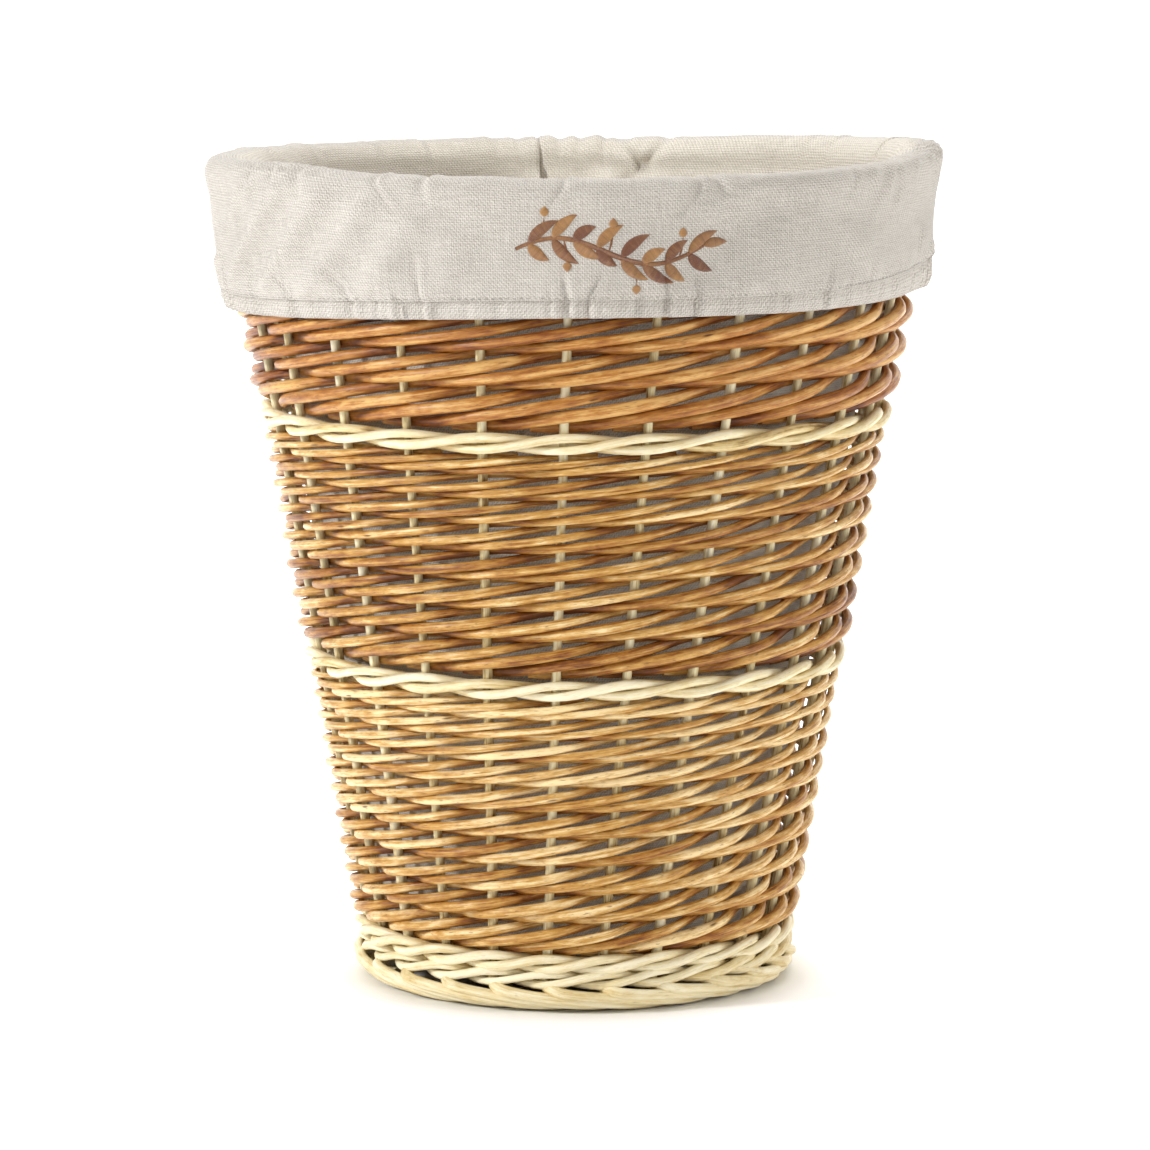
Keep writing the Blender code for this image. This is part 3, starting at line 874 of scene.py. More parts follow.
def pairing_route(radius, side, thick, lift):
    """One round of a pair of rods, over and under the sticks' ends and the rod's own start."""
    route = []
    ends = STAKES // 2
    count = ends * 14
    for index in range(count + 1):
        angle = TAU * 1.012 * index / count
        wave = angle * ends / 2
        swing = side * math.sin(wave) * thick * 0.48
        z = BASE_LEVEL + side * math.cos(wave) * lift
        tuck = 0.0007 if index > count - 3 else 0
        route.append((on_circle(radius + swing - tuck, angle, z), thick))
    return route


def weave_base():
    """Rounds of pairing over and under the base sticks, from the cross to the wall."""
    bottom, top = cad_levels("base_weave")
    thick = weave().base_rod
    lift = (top - bottom) / 2 - thick / 2 - 0.0002
    chance = random.Random(53)
    made = []
    radius = cad_radius("base_weave") - thick
    while radius > CROSS_RADIUS:
        for side in (1, -1):
            rod = cut_rod("base_rod", pairing_route(radius, side, thick, lift), corners=6)
            rod.data.transform(Matrix.Rotation(len(made) // 2 * math.radians(60), 4, "Z"))
            work_by_hand(rod, chance, fatten=0.08, sway=0.0002)
            made.append(rod)
        radius -= thick * 1.92
    place_piece(join("base_weave_rods", made), "basket", "buff_willow", "base_weave")


def dress_sticks():
    """The base sticks keep their CAD shape and get their willow finish."""
    finish = stick_finish()
    for name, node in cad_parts.items():
        if name.startswith("base_stick"):
            node.data.materials.clear()
            node.data.materials.append(finish)


def stick_finish():
    """Thick stick willow, with fibres along both ways that the sticks run."""
    finish = Finish("base stick willow")
    place = finish.place()
    fibres = finish.grain(place, (160.0, 160.0, 900.0), detail=4.0)
    drift = finish.grain(place, (26.0, 26.0, 60.0), detail=3.0)
    value = ((drift - 0.5) * 1.3 + (fibres - 0.5) * 0.9 + 0.4).clamped()
    body = finish.mix(value, tint("stake"), shade(168, 128, 74))
    scars = finish.grain(place, (300.0, 300.0, 500.0), detail=1.0).between(0.68, 0.78)
    body = finish.mix(scars * 0.6, body, shade(92, 56, 28))
    return finish.finished(
        Base_Color=body,
        Roughness=0.5 + (fibres - 0.5) * 0.3,
        Coat_Weight=0.15,
        Coat_Roughness=0.35,
        Normal=finish.bump(fibres, 0.5, 0.0005),
    )


# ---------------------------------------------------------------- the liner

CORNERS = ((0, 0), (1, 0), (1, 1), (0, 1))  # a face's corners, in steps across and along
SLACK = 0.0006  # room between the willow and the cloth
EASE = 1.02  # extra cloth that the wall's folds take up
WALL_ALLOWANCE = 0.0062  # a folded allowance's width
FLOOR_ALLOWANCE = 0.0058
SEAM_BACK_AT = 96.6  # degrees
SEAM_BACK = math.radians(SEAM_BACK_AT)
SEAM_RIGHT = math.radians(49.4)
TUCK = 81.4  # where the tuck at the back of the cuff starts, in degrees
TUCK_END = 73.4
CROWN_HEIGHT = 0.0105  # of the cuff's turn over the rim
SQUARENESS = 0.68  # of that turn: 1 is round
CUFF_FALL = ((0.0042, 0.475), (0.0056, 0.460), (0.0074, 0.444), (0.0080, 0.4325))
ON_OUTSIDE = -0.002  # the cuff is outside the rim where its stand-off is more
TWISTS = ((217, 15, 0.0024, 0.15), (352, 15, 0.0018, -0.13))  # direction, width, height, slant
CASING = 0.0046  # the hem's thickness, folded round its elastic
ELASTIC = 0.0058  # the band's width
STITCH = (0.00125, 0.00034, 0.00030)  # half its length, width and thickness
STITCHES = 330


def cloth_grid(name, across, along, place, flat, ring=True, tube=False):
    """A grid of cloth, joined up sideways if a ring and lengthways too if a tube.

    place gives each point and flat its place on the uncut cloth in metres, from
    the shares of the way across and along.
    """
    wide = across if ring else across + 1
    tall = along if tube else along + 1
    mesh = bpy.data.meshes.new(name)
    points = [place(i / across, j / along) for j in range(tall) for i in range(wide)]
    faces = [
        [(j + dj) % tall * wide + (i + di) % wide for di, dj in CORNERS]
        for j in range(along) for i in range(across)
    ]
    mesh.from_pydata(points, [], faces)
    uv = mesh.uv_layers.new(name="UVMap").data
    for face in mesh.polygons:
        j, i = divmod(face.index, across)
        for loop, (di, dj) in zip(face.loop_indices, CORNERS):
            uv[loop].uv = flat((i + di) / across, (j + dj) / along)
    sheet = bpy.data.objects.new(name, mesh)
    bpy.context.scene.collection.objects.link(sheet)
    return sheet


def cut_to(width, height):
    """A plain rectangle of cloth, for cloth_grid."""
    return lambda i, j: (i * width, j * height)


def thicken(sheet, thickness, offset=0.0):
    """Gives a sheet its thickness and smooth shading."""
    only(sheet)
    modifier = sheet.modifiers.new("thickness", "SOLIDIFY")
    modifier.thickness = thickness
    modifier.offset = offset
    modifier.use_even_offset = False
    bpy.ops.object.modifier_apply(modifier="thickness")
    smooth_shade(sheet, CLOTH_EDGE)


def ripple(angle, count, seed):
    """Uneven waves round the basket: about count of them, and the same at both ends."""
    reach = count / TAU
    here = Vector((math.cos(angle) * reach, math.sin(angle) * reach, seed * 7.31))
    return noise.noise(here)


def offset_from(angle, middle):
    """Degrees from a direction in degrees to an angle, from -180 to 180."""
    return (math.degrees(angle) - middle + 180) % 360 - 180


def valley(angle, middle, width):
    """1 at a direction given in degrees, falling off on both sides of it."""
    off = offset_from(angle, middle)
    return math.exp(-((off / width) ** 2)) if abs(off) < 4 * width else 0.0


def wall_fold(angle, z):
    """How far the bag's wall stands in from the willow: soft folds that die out at the floor."""
    rise = smooth(0.04, 0.34, z)
    soft = abs(ripple(angle + z * 0.5, 9, 1)) * 2
    fine = 0.5 + 0.5 * ripple(angle - z * 0.4, 34, 2)
    sag = noise.noise(Vector((math.cos(angle) * 3, math.sin(angle) * 3, z * 14)))
    fold = 0.0014 + rise * (0.0075 * min(soft, 1.0) + 0.0022 * fine) + 0.0016 * max(sag, 0)
    drift = (WALL_TOP - z) * 22
    beside = 0.5 * valley(angle, 79.6 + drift * 1.3, 1.6)
    fold += rise * 0.0095 * (valley(angle, 83.5 + drift, 2.6) - beside)
    fold += rise * 0.0060 * valley(angle, 74.5 + drift * 1.5, 3.0)
    off = offset_from(angle, SEAM_BACK_AT)
    if 0 <= off < 9:
        fold += 0.0042 * (0.4 + 0.6 * rise) * (1 - off / 9) ** 2
    elif -1.4 < off < 0:
        fold *= 0.25
    return max(fold, 0.0004)


def wall_point(angle, z):
    """The middle of the bag's wall."""
    radius = inner_radius(z) - SLACK - cloth().cloth / 2
    return on_circle(radius - wall_fold(angle, z), angle, z)


def sew_wall():
    """The tapered bag, hung from the cuff's seam down to the floor panel."""
    bottom = FLOOR_LEVEL + 0.0003
    top_girth = TAU * inner_radius(WALL_TOP)
    drop = (WALL_TOP - bottom) * math.hypot(1, SLOPE)

    def place(i, j):
        return wall_point(i * TAU, bottom + (WALL_TOP - bottom) * j)

    wall = cloth_grid("liner_wall_sheet", 288, 84, place, cut_to(top_girth, drop))
    thicken(wall, cloth().cloth)
    place_piece(wall, "liner", "linen", "liner_wall")
    flat_area = math.pi * (inner_radius(WALL_TOP) + inner_radius(bottom)) * drop * EASE
    top_girth * EASE


def sew_floor():
    """The round floor panel, lying on the base, slightly rumpled."""
    radius = inner_radius(FLOOR_LEVEL) - 0.0010
    level = FLOOR_LEVEL + 0.0010
    deselect()
    bpy.ops.mesh.primitive_grid_add(x_subdivisions=72, y_subdivisions=72, size=2 * radius)
    panel = bpy.context.object
    panel.name = "liner_floor_sheet"
    mesh = panel.data
    uv = mesh.uv_layers[0].data
    for loop in mesh.loops:
        place = mesh.vertices[loop.vertex_index].co
        uv[loop.index].uv = (place.x + radius, place.y + radius)
    for vertex in mesh.vertices:
        x, y = vertex.co.x / radius, vertex.co.y / radius
        u, v = x * math.sqrt(1 - y * y / 2), y * math.sqrt(1 - x * x / 2)
        rumple = max(noise.noise(Vector((u * 2.2, v * 2.2, 4.0))), 0) * 0.0030
        rumple += max(noise.noise(Vector((u * 5 + v * 3, v * 6, 9.0))), 0) * 0.0012
        edge = smooth(1.0, 0.86, math.hypot(u, v))
        vertex.co = (u * radius, v * radius, level + rumple * edge)
    thicken(panel, cloth().cloth)
    place_piece(panel, "liner", "linen", "liner_floor")
    size = 2 * radius
    math.pi * radius**2


def sew_allowance(name, node, line, width):
    """A narrow turned seam allowance that stands proud of the cloth along a line of (place, out)."""

    def place(i, j):
        at = i * (len(line) - 1)
        index = min(int(at), len(line) - 2)
        here = line[index][0].lerp(line[index + 1][0], at - index)
        out = line[index][1]
        side = out.cross((line[index + 1][0] - line[index][0]).normalized())
        crown = 0.0009 * (1 - (2 * j - 1) ** 2) + 0.0004 * noise.noise(here * 90)
        return here + side * ((j - 0.5) * width) + out * crown

    total = path_length([spot for spot, _ in line])
    strip = cloth_grid(name, len(line) * 2, 5, place, cut_to(total, width), ring=False)
    thicken(strip, 0.0008)
    place_piece(strip, "liner", "linen", node)
    return strip, total


def sew_seams():
    """The seams inside the bag: two upright ones and the one round the floor."""
    wide, narrow = WALL_ALLOWANCE, FLOOR_ALLOWANCE
    for name, node, angle in (
        ("back_seam_allowance", "wall_seam_back", SEAM_BACK),
        ("right_seam_allowance", "wall_seam_right", SEAM_RIGHT),
    ):
        line = []
        inward = -Vector((math.cos(angle), math.sin(angle), -SLOPE)).normalized()
        for step in range(60):
            z = FLOOR_LEVEL + 0.004 + (WALL_TOP - FLOOR_LEVEL - 0.006) * step / 59
            line.append((wall_point(angle, z) + inward * (cloth().cloth / 2 + 0.0004), inward))
        strip, total = sew_allowance(name, node, line, wide)
        wide * total
    line = []
    radius = inner_radius(FLOOR_LEVEL) - 0.0048
    for step in range(121):
        angle = TAU * step / 120
        up = Vector((-math.cos(angle) * 0.5, -math.sin(angle) * 0.5, 0.86)).normalized()
        line.append((on_circle(radius, angle, FLOOR_LEVEL + 0.0026), up))
    strip, total = sew_allowance("floor_seam_allowance", "floor_seam", line, narrow)
    narrow * total


@functools.cache
def cuff_profile():
    """The cuff's line over the rim, as (radius less the wall's, height), down to the stitching."""
    inside = -WALL - SLACK - cloth().cloth / 2
    outside = 0.0044
    reach = (outside - inside) / 2
    middle = (outside + inside) / 2
    spring = CUFF_TOP - cloth().cloth / 2 - 0.0002 - CROWN_HEIGHT
    line = [Vector((inside, WALL_TOP + 0.0003)), Vector((inside, (WALL_TOP + spring) / 2))]
    for step in range(13):
        turn = math.pi * (1 - step / 12)
        across = math.copysign(abs(math.cos(turn)) ** SQUARENESS, math.cos(turn))
        up = abs(math.sin(turn)) ** SQUARENESS
        line.append(Vector((middle + reach * across, spring + CROWN_HEIGHT * up)))
    line += [Vector(place) for place in CUFF_FALL]
    return [
        Vector((through([c.x for c in line], at), through([c.y for c in line], at)))
        for at in [(len(line) - 1) * k / 400 for k in range(401)]
    ]


def spaced(line, count):
    """Points at even distances along a line."""
    lengths = [0.0]
    for a, b in zip(line, line[1:]):
        lengths.append(lengths[-1] + (b - a).length)
    made, index = [], 0
    for step in range(count + 1):
        goal = lengths[-1] * step / count
        while index < len(line) - 2 and lengths[index + 1] < goal:
            index += 1
        gap = lengths[index + 1] - lengths[index]
        made.append(line[index].lerp(line[index + 1], (goal - lengths[index]) / gap if gap else 0))
    return made, lengths[-1]


def hem_edge(angle):
    """The height of the cuff's lower edge: it hangs lower on the left."""
    sway = 0.0012 * ripple(angle, 9, 3)
    hitch = 0.0046 * valley(angle, 0, 25)
    return cloth().hem_level - cloth().hem_drop * max(-math.cos(angle), 0) ** 1.5 + hitch + sway


def turned_out(angle):
    """1 on the right, where the casing has turned its inside out to view."""
    return valley(angle, -4, 26)


def hem_depth(angle):
    return cloth().hem_depth + cloth().hem_extra * turned_out(angle)


def stitch_level(angle):
    """The height of the stitching above the hem."""
    return hem_edge(angle) + hem_depth(angle)


def scatter_wrinkles():
    """Short creases across the hem and over the rim, filed under each whole degree they may touch.

    A crease is (direction, width, depth, reach, slant).
    """
    chance = random.Random(5)
    hem, rim = {}, {}

    def crease(table, direction, near, width, depth, reach, slant):
        made = (
            direction % 360, chance.uniform(*width), chance.uniform(*depth),
            chance.uniform(*reach), chance.uniform(-slant, slant),
        )
        for degree in range(int(direction) - near, int(direction) + near + 2):
            table.setdefault(degree % 360, []).append(made)

    direction = 0.0
    while direction < 360:
        crease(hem, direction, 6, (0.35, 0.9), (0.0011, 0.0030), (0.008, 0.026), 160)
        direction += chance.uniform(1.6, 8.5)
    known = [212, 218, 224, 239, 247, 268.4, 288.8, 291.5, 317, 320]
    spread = [chance.uniform(0, 200) - 40 for _ in range(26)]
    for direction in known + spread:
        crease(rim, direction, 8, (0.5, 1.3), (0.0010, 0.0024), (0.008, 0.020), 260)
    return hem, rim


HEM_WRINKLES, RIM_WRINKLES = scatter_wrinkles()


def creases(table, angle, away):
    """The depth of the short creases at a direction, so far away from where they start."""
    total = 0.0
    for direction, width, depth, reach, slant in table.get(int(math.degrees(angle) % 360), ()):
        if away > reach * 2.5:
            continue
        off = offset_from(angle, direction + slant * away)
        if abs(off) < 3 * width:
            lip = 0.6 * math.exp(-(((off - 1.3 * width) / width) ** 2))
            fade = math.exp(-((away / reach) ** 2))
            total += depth * fade * (math.exp(-((off / width) ** 2)) - lip)
    return total


def gather(angle, z):
    """How far the cuff stands out from its plain shape at a place on the outside."""
    edge = hem_edge(angle)
    above = z - stitch_level(angle)
    low = math.exp(-max(above, 0) / 0.010)
    drape = ripple(angle + (z - 0.45) * 1.6, 13, 6)
    long_fold = ripple(angle - (z - 0.45) * 5.5, 24, 7)
    crumple = noise.noise(Vector((math.cos(angle) * 9, math.sin(angle) * 9, z * 60)))
    pulled_in = 0.0010 * math.exp(-((above / 0.0016) ** 2))
    return (
        cloth().pucker * (ripple(angle, 120, 4) + 0.6 * ripple(angle, 260, 5)) * low
        + 0.0042 * drape * smooth(RIM_TOP, edge + 0.012, z)
        + 0.0026 * long_fold * smooth(RIM_TOP, RIM_TOP - 0.02, z)
        + 0.0014 * crumple
        - creases(HEM_WRINKLES, angle, max(above, 0) + max(-above, 0) * 0.25)
        - creases(RIM_WRINKLES, angle, max(RIM_TOP - 0.002 - z, 0))
        - pulled_in
    )


def slant_fold(angle, z, middle, slope, width, height, low, high):
    """One long soft fold, running slantwise across the outside of the cuff."""
    across = offset_from(angle, middle + (z - 0.455) * slope) / width
    if abs(across) > 3:
        return 0.0
    fade = smooth(low, low + 0.014, z) * (1 - smooth(high - 0.014, high, z))
    return height * math.exp(-(across**2)) * fade


SLANT_FOLDS = (
    (197, 380, 2.6, 0.0030, 0.424, 0.500),
    (209, 320, 2.7, 0.0058, 0.424, 0.500),
    (220, 270, 2.9, 0.0064, 0.424, 0.500),
    (230.5, 230, 2.9, 0.0060, 0.425, 0.494),
    (241, 200, 3.0, 0.0048, 0.426, 0.486),
    (251, 160, 3.0, 0.0026, 0.424, 0.474),
    (304, -160, 3.4, 0.0014, 0.424, 0.470),
    (322, -240, 4.0, 0.0020, 0.425, 0.478),
    (346, -320, 5.0, 0.0026, 0.422, 0.470),
    (15, 260, 4.0, 0.0026, 0.424, 0.488),
    (48, -300, 3.6, 0.0024, 0.424, 0.486),
    (77, 280, 3.2, 0.0026, 0.424, 0.490),
    (112, -260, 4.2, 0.0028, 0.424, 0.484),
    (141, 340, 3.4, 0.0026, 0.424, 0.490),
    (170, -280, 3.6, 0.0026, 0.424, 0.484),
)


def crown_rise(angle):
    """How far the bunched cloth stands above the rim, most of it on the right."""
    bunched = 0.0010 + 0.0082 * valley(angle, 10, 44)
    bunched += 0.0008 * valley(angle, 172, 32) + 0.0014 * valley(angle, 217, 20)
    rumple = 0.0010 * ripple(angle, 40, 9) + 0.0008 * ripple(angle, 17, 10)
    notch = 0.0022 * pinch(angle, SEAM_BACK, 0.35)
    notch += 0.0030 * valley(angle, TUCK, 1.3) + 0.0016 * valley(angle, TUCK_END, 1.1)
    return max(bunched + rumple - creases(RIM_WRINKLES, angle, 0.0) - notch, 0.0002)


def pinch(angle, middle, width):
    """1 in a narrow slit at a direction in radians, and 0 beside it."""
    return max(0.0, 1 - abs(math.degrees(angle - middle)) / width)


def inner_bulge(angle, z):
    """How far the cuff's inside stands off the rim: a seam's slit and a tuck at the back."""
    away = RIM_TOP - z
    fade = smooth(RIM_TOP + 0.0010, RIM_TOP - 0.0100, z)
    bulge = 0.0012 + 0.0036 * abs(ripple(angle + away * 3, 21, 14))
    bulge += 0.0022 * valley(angle, 101, 6) + 0.0026 * valley(angle, 90, 6) + 0.0040 * valley(angle, 77, 11)
    if 84 < math.degrees(angle) < SEAM_BACK_AT:
        bulge *= 0.62
    crease = valley(angle, TUCK - away * 260, 1.1) + 0.8 * valley(angle, TUCK_END + away * 210, 1.0)
    pit = valley(angle, 77.0, 1.5) * math.exp(-(((away - 0.0165) / 0.0045) ** 2))
    held = max(
        pinch(angle, SEAM_BACK, 0.40), min(crease * 0.75 + pit, 1.0), 0.5 * pinch(angle, SEAM_RIGHT, 0.5)
    )
    roll = 0.0095 * valley(angle, 190, 24) * smooth(RIM_TOP + 0.004, RIM_TOP - 0.004, z)
    return (bulge + 0.0014) * fade * (1 - held) + roll


def twist(angle, across):
    """Fine slanting wrinkles where the cloth turns over the rim, at the left and at the right."""
    fade = smooth(-0.040, -0.024, across) * (1 - smooth(0.000, 0.014, across))
    total = 0.0
    for middle, width, height, slant in TWISTS:
        off = offset_from(angle, middle)
        if abs(off) < 2.2 * width:
            wave = 0.5 + 0.5 * math.sin(TAU * (across / 0.0078 + off * slant))
            total += height * wave * fade * math.exp(-((off / width) ** 2))
    return total


def cuff_point(angle, radius_less, z, outside):
    """A point of the cuff, with its gathers. outside is 0 inside the rim and 1 outside it."""
    near_top = smooth(RIM_TOP - 0.026, RIM_TOP, z)
    rise = crown_rise(angle)
    wrinkle = twist(angle, radius_less + max(RIM_TOP - z, 0) * (1 if outside > 0.5 else -1))
    joined = smooth(WALL_TOP + 0.014, WALL_TOP + 0.001, z)
    bulge = inner_bulge(angle, z) * (1 - joined) + wall_fold(angle, WALL_TOP) * joined
    folds = sum(slant_fold(angle, z, *fold) for fold in SLANT_FOLDS)
    out = gather(angle, z) + folds + rise * 0.10 * near_top - 0.0024 * valley(angle, 2, 34)
    radius = wall_radius(z) + radius_less - (bulge + wrinkle) * (1 - outside)
    radius += (max(out, -0.0026) + wrinkle * near_top * 0.5) * outside
    return on_circle(radius, angle, z + (rise + wrinkle) * near_top)


def cuff_place(angle, share, profile):
    """A point at a share of the way from the inner seam, over the rim, to the hem's stitching."""
    at = share * (len(profile) - 1)
    index = min(int(at), len(profile) - 2)
    here = profile[index].lerp(profile[index + 1], at - index)
    z = here.y
    start = RIM_TOP - 0.010
    if here.x > ON_OUTSIDE and z < start:
        z = start - (start - z) * (start - stitch_level(angle)) / (start - profile[-1].y)
    return cuff_point(angle, here.x, z, smooth(-WALL * 0.80, -WALL * 0.10, here.x))


def sew_cuff():
    """The band of cloth folded over the rim, down to the stitching above the hem."""
    profile, reach = spaced(cuff_profile(), 60)
    girth = TAU * wall_radius(RIM_TOP)

    def place(i, j):
        return cuff_place(i * TAU, j, profile)

    cuff = cloth_grid("cuff_sheet", 660, 68, place, cut_to(girth, reach))
    thicken(cuff, cloth().cloth)
    place_piece(cuff, "liner", "linen", "liner_cuff")
    return cuff, girth, reach


def hem_point(angle, share):
    """Round the casing: down the outside from the stitching, under the edge and up inside."""
    depth = hem_depth(angle)
    edge = hem_edge(angle)
    top = edge + depth
    start = cuff_point(angle, cuff_profile()[-1].x, top, 1.0).xy.length
    gathers = 0.0009 * ripple(angle, 120, 4) + 0.0008 * ripple(angle, 60, 11)
    puff = max(gathers - creases(HEM_WRINKLES, angle, 0.004) * 0.8, -0.0015)
    turned = turned_out(angle)
    thick = CASING + 0.0018 * turned
    across, up = math.cos(share * TAU), math.sin(share * TAU)
    radius = start - thick / 2 - 0.0010 + 0.0022 * turned - SLOPE * depth * 0.3
    radius += across * (thick / 2) + puff * max(across, 0) + up * depth * SLOPE * 0.3
    radius += smooth(0.70, 1.0, up) * (start - radius) * 0.85
    return on_circle(radius, angle, (top + edge) / 2 + up * depth / 2)


def sew_hem():
    """The casing at the cuff's edge, the elastic inside it and the stitching above."""
    girth = TAU * wall_radius(0.425)
    wrap = 2 * cloth().hem_depth + 0.007

    def place(i, j):
        return hem_point(i * TAU, j)

    casing = cloth_grid("hem_casing", 720, 16, place, cut_to(girth, wrap), tube=True)
    edit(casing, face_outwards)
    thicken(casing, cloth().cloth * 0.7, offset=-1.0)
    place_piece(casing, "liner", "linen", "cuff_hem")

    def band(i, j):
        angle = i * TAU
        near = [
            (hem_point(angle + turn, 0.0) + hem_point(angle + turn, 0.5)) / 2
            for turn in (-0.03, -0.015, 0, 0.015, 0.03)
        ]
        radius = min(middle.xy.length for middle in near) - 0.0004
        up = (j - 0.5) * ELASTIC
        return on_circle(radius + up * SLOPE, angle, near[2].z + up)

    elastic = cloth_grid("elastic_band", 180, 4, band, cut_to(girth, ELASTIC))
    thicken(elastic, 0.0009)
    place_piece(elastic, "liner", "elastic", "hem_elastic")
    return casing, elastic, girth, wrap


def sew_stitches():
    """A row of machine stitches above the hem."""
    deselect()
    bpy.ops.mesh.primitive_uv_sphere_add(segments=8, ring_count=5, radius=1.0)
    stitch = bpy.context.object
    edit(stitch, lambda: bpy.ops.transform.resize(value=STITCH))
    low = cuff_profile()[-1].x

    def seat(angle):
        return cuff_point(angle, low, stitch_level(angle) + 0.0009, 1.0)

    made = []
    for number in range(STITCHES):
        angle = TAU * number / STITCHES
        here = seat(angle)
        run = (seat(angle + 0.006) - here).normalized()
        out = Vector((math.cos(angle), math.sin(angle), 0))
        pose = Matrix((run, run.cross(out), out)).transposed().to_4x4()
        pose.translation = here + out * (cloth().cloth / 2 + 0.00012)
        copy = new_copy(stitch, f"stitch_{number}")
        copy.data.transform(pose)
        made.append(copy)
    bpy.data.objects.remove(stitch)
    row = join("hem_stitches", made)
    edit(row, face_outwards)
    return place_piece(row, "liner", "linen")


# ---------------------------------------------------------------- embroidery

MOTIF_MIDDLE = math.radians(-84.7)  # a little right of the front
MOTIF_LEVEL = 0.4600
SPRIG = 0.108  # length of the stem
STEM_STEPS = 72
BUDS = ((0.13, 1, 0.0190), (0.25, -1, 0.0190), (0.49, 1, 0.0200), (0.61, -1, 0.0190), (0.86, 1, 0.0170))


@functools.cache
def plain_cuff():
    """The cuff's plain line outside the rim, for finding its stand-off at a height."""
    return [place for place in spaced(cuff_profile(), 200)[0] if place.x > ON_OUTSIDE]


def motif_place(x, y, lift):
    """A place on the front of the cuff: x metres along it from the motif's middle, y above its middle."""
    z = MOTIF_LEVEL + y
    angle = MOTIF_MIDDLE + x / (wall_radius(z) + 0.005)
    stand_off = min(plain_cuff(), key=lambda place: abs(place.y - z)).x
    out = Vector((math.cos(angle), math.sin(angle), -SLOPE * 0.7)).normalized()
    return cuff_point(angle, stand_off, z, 1.0) + out * (cloth().cloth / 2 + lift)


def satin(name, spine, widths, gold, crown=0.0010):
    """A raised run of satin stitch along a spine of (x, y), of the given widths."""
    count = len(spine) - 1
    travelled = [0.0]
    for a, b in zip(spine, spine[1:]):
        travelled.append(travelled[-1] + math.dist(a, b))

    def place(i, j):
        index = round(j * count)
        before, after = spine[max(index - 1, 0)], spine[min(index + 1, count)]
        run = Vector((after[0] - before[0], after[1] - before[1])).normalized()
        across = i * 2 - 1
        here = Vector(spine[index]) + Vector((-run.y, run.x)) * across * widths[index] / 2
        lift = crown * min(1.0, widths[index] / 0.003) * (1 - across**2) ** 0.6 + 0.00008
        return motif_place(here.x, here.y, lift)

    def flat(i, j):
        index = round(j * count)
        return travelled[index], i * widths[index]

    run = cloth_grid(name, 8, count, place, flat, ring=False)
    point_value(run.data, "gold", [gold] * len(run.data.vertices))
    edit(run, face_outwards)
    thicken(run, 0.0004, offset=-1.0)
    return run


def leaf_shape(root, heading, reach, width, bend, steps=16):
    """A leaf's spine and widths, from its root outwards."""
    spine, widths = [], []
    x, y = root
    for step in range(steps + 1):
        share = step / steps
        spine.append((x, y))
        turn = heading + bend * share
        x += math.cos(turn) * reach / steps
        y += math.sin(turn) * reach / steps
        widths.append(max(width * math.sin(math.pi * share**0.8) ** 0.8, 0.0004))
    return spine, widths


def embroider():
    """A sprig in satin stitch: a curling stem with leaves and buds."""
    stem, widths = [], []
    for step in range(STEM_STEPS + 1):
        share = step / STEM_STEPS
        curl = 0.0085 * math.sin(share * math.pi * 1.9 + 0.35)
        stem.append((SPRIG * (share - 0.5), curl - 0.002 + 0.004 * share))
        widths.append(0.0020 + 0.0010 * math.sin(math.pi * share))
    made = [satin("stem", stem, widths, 0.25, crown=0.0008)]
    for number in range(8):
        root = stem[round((0.07 + 0.12 * number) * STEM_STEPS)]
        for side in (1, -1):
            size = 0.0185 + 0.0035 * math.sin(number * 1.9 + side)
            heading = side * (1.02 + 0.12 * math.sin(number * 2.3))
            gold = 0.15 if (number + (side > 0)) % 2 else 0.62
            leaf = leaf_shape(root, heading, size, 0.0066, -side * 0.75)
            made.append(satin(f"leaf_{number}_{side}", *leaf, gold))
    made.append(satin("tip_leaf", *leaf_shape(stem[-1], 0.35, 0.0150, 0.0058, -0.5), 0.6))
    for number, (share, side, reach) in enumerate(BUDS):
        root = stem[round(share * STEM_STEPS)]
        stalk = leaf_shape(root, side * 1.25, reach * 0.72, 0.0013, side * 0.3, steps=8)
        made.append(satin(f"stalk_{number}", *stalk, 0.2, crown=0.0005))
        bud = leaf_shape(stalk[0][-1], side * 1.25 + side * 0.3, 0.0056, 0.0050, 0.0, steps=10)
        made.append(satin(f"bud_{number}", *bud, 0.8, crown=0.0011))
    return place_piece(join("embroidered_sprig", made), "liner", "embroidery_thread", "embroidery")


# ---------------------------------------------------------------- stage


def soft_light(name, place, target, size, power, tone=(1, 1, 1)):
    deselect()
    bpy.ops.object.light_add(type="AREA", location=place)
    lamp = bpy.context.object
    lamp.name = name
    lamp.data.shape = "DISK"
    lamp.data.size = size
    lamp.data.energy = power
    lamp.data.color = tone
    lamp.rotation_euler = (Vector(target) - lamp.location).to_track_quat("-Z", "Y").to_euler()


def paper_finish():
    """Pale paper, with a faint glow of its own everywhere but under the basket."""
    finish = Finish("studio paper")
    place = finish.place()
    x, y, _ = finish.parts(place)
    white = tint("backdrop")
    cloudy = finish.grain(place, (3.0, 3.0, 3.0), detail=2.0)
    return finish.finished(
        Base_Color=finish.mix(cloudy, white, dyed(white, 0.985, 0.985, 0.985)),
        Roughness=0.9,
        Specular_IOR_Level=0.1,
        Emission_Color=finish.mix((x * x + y * y).between(0.0165, 0.026), (0, 0, 0, 1), (1, 1, 1, 1)),
        Emission_Strength=0.30,
    )


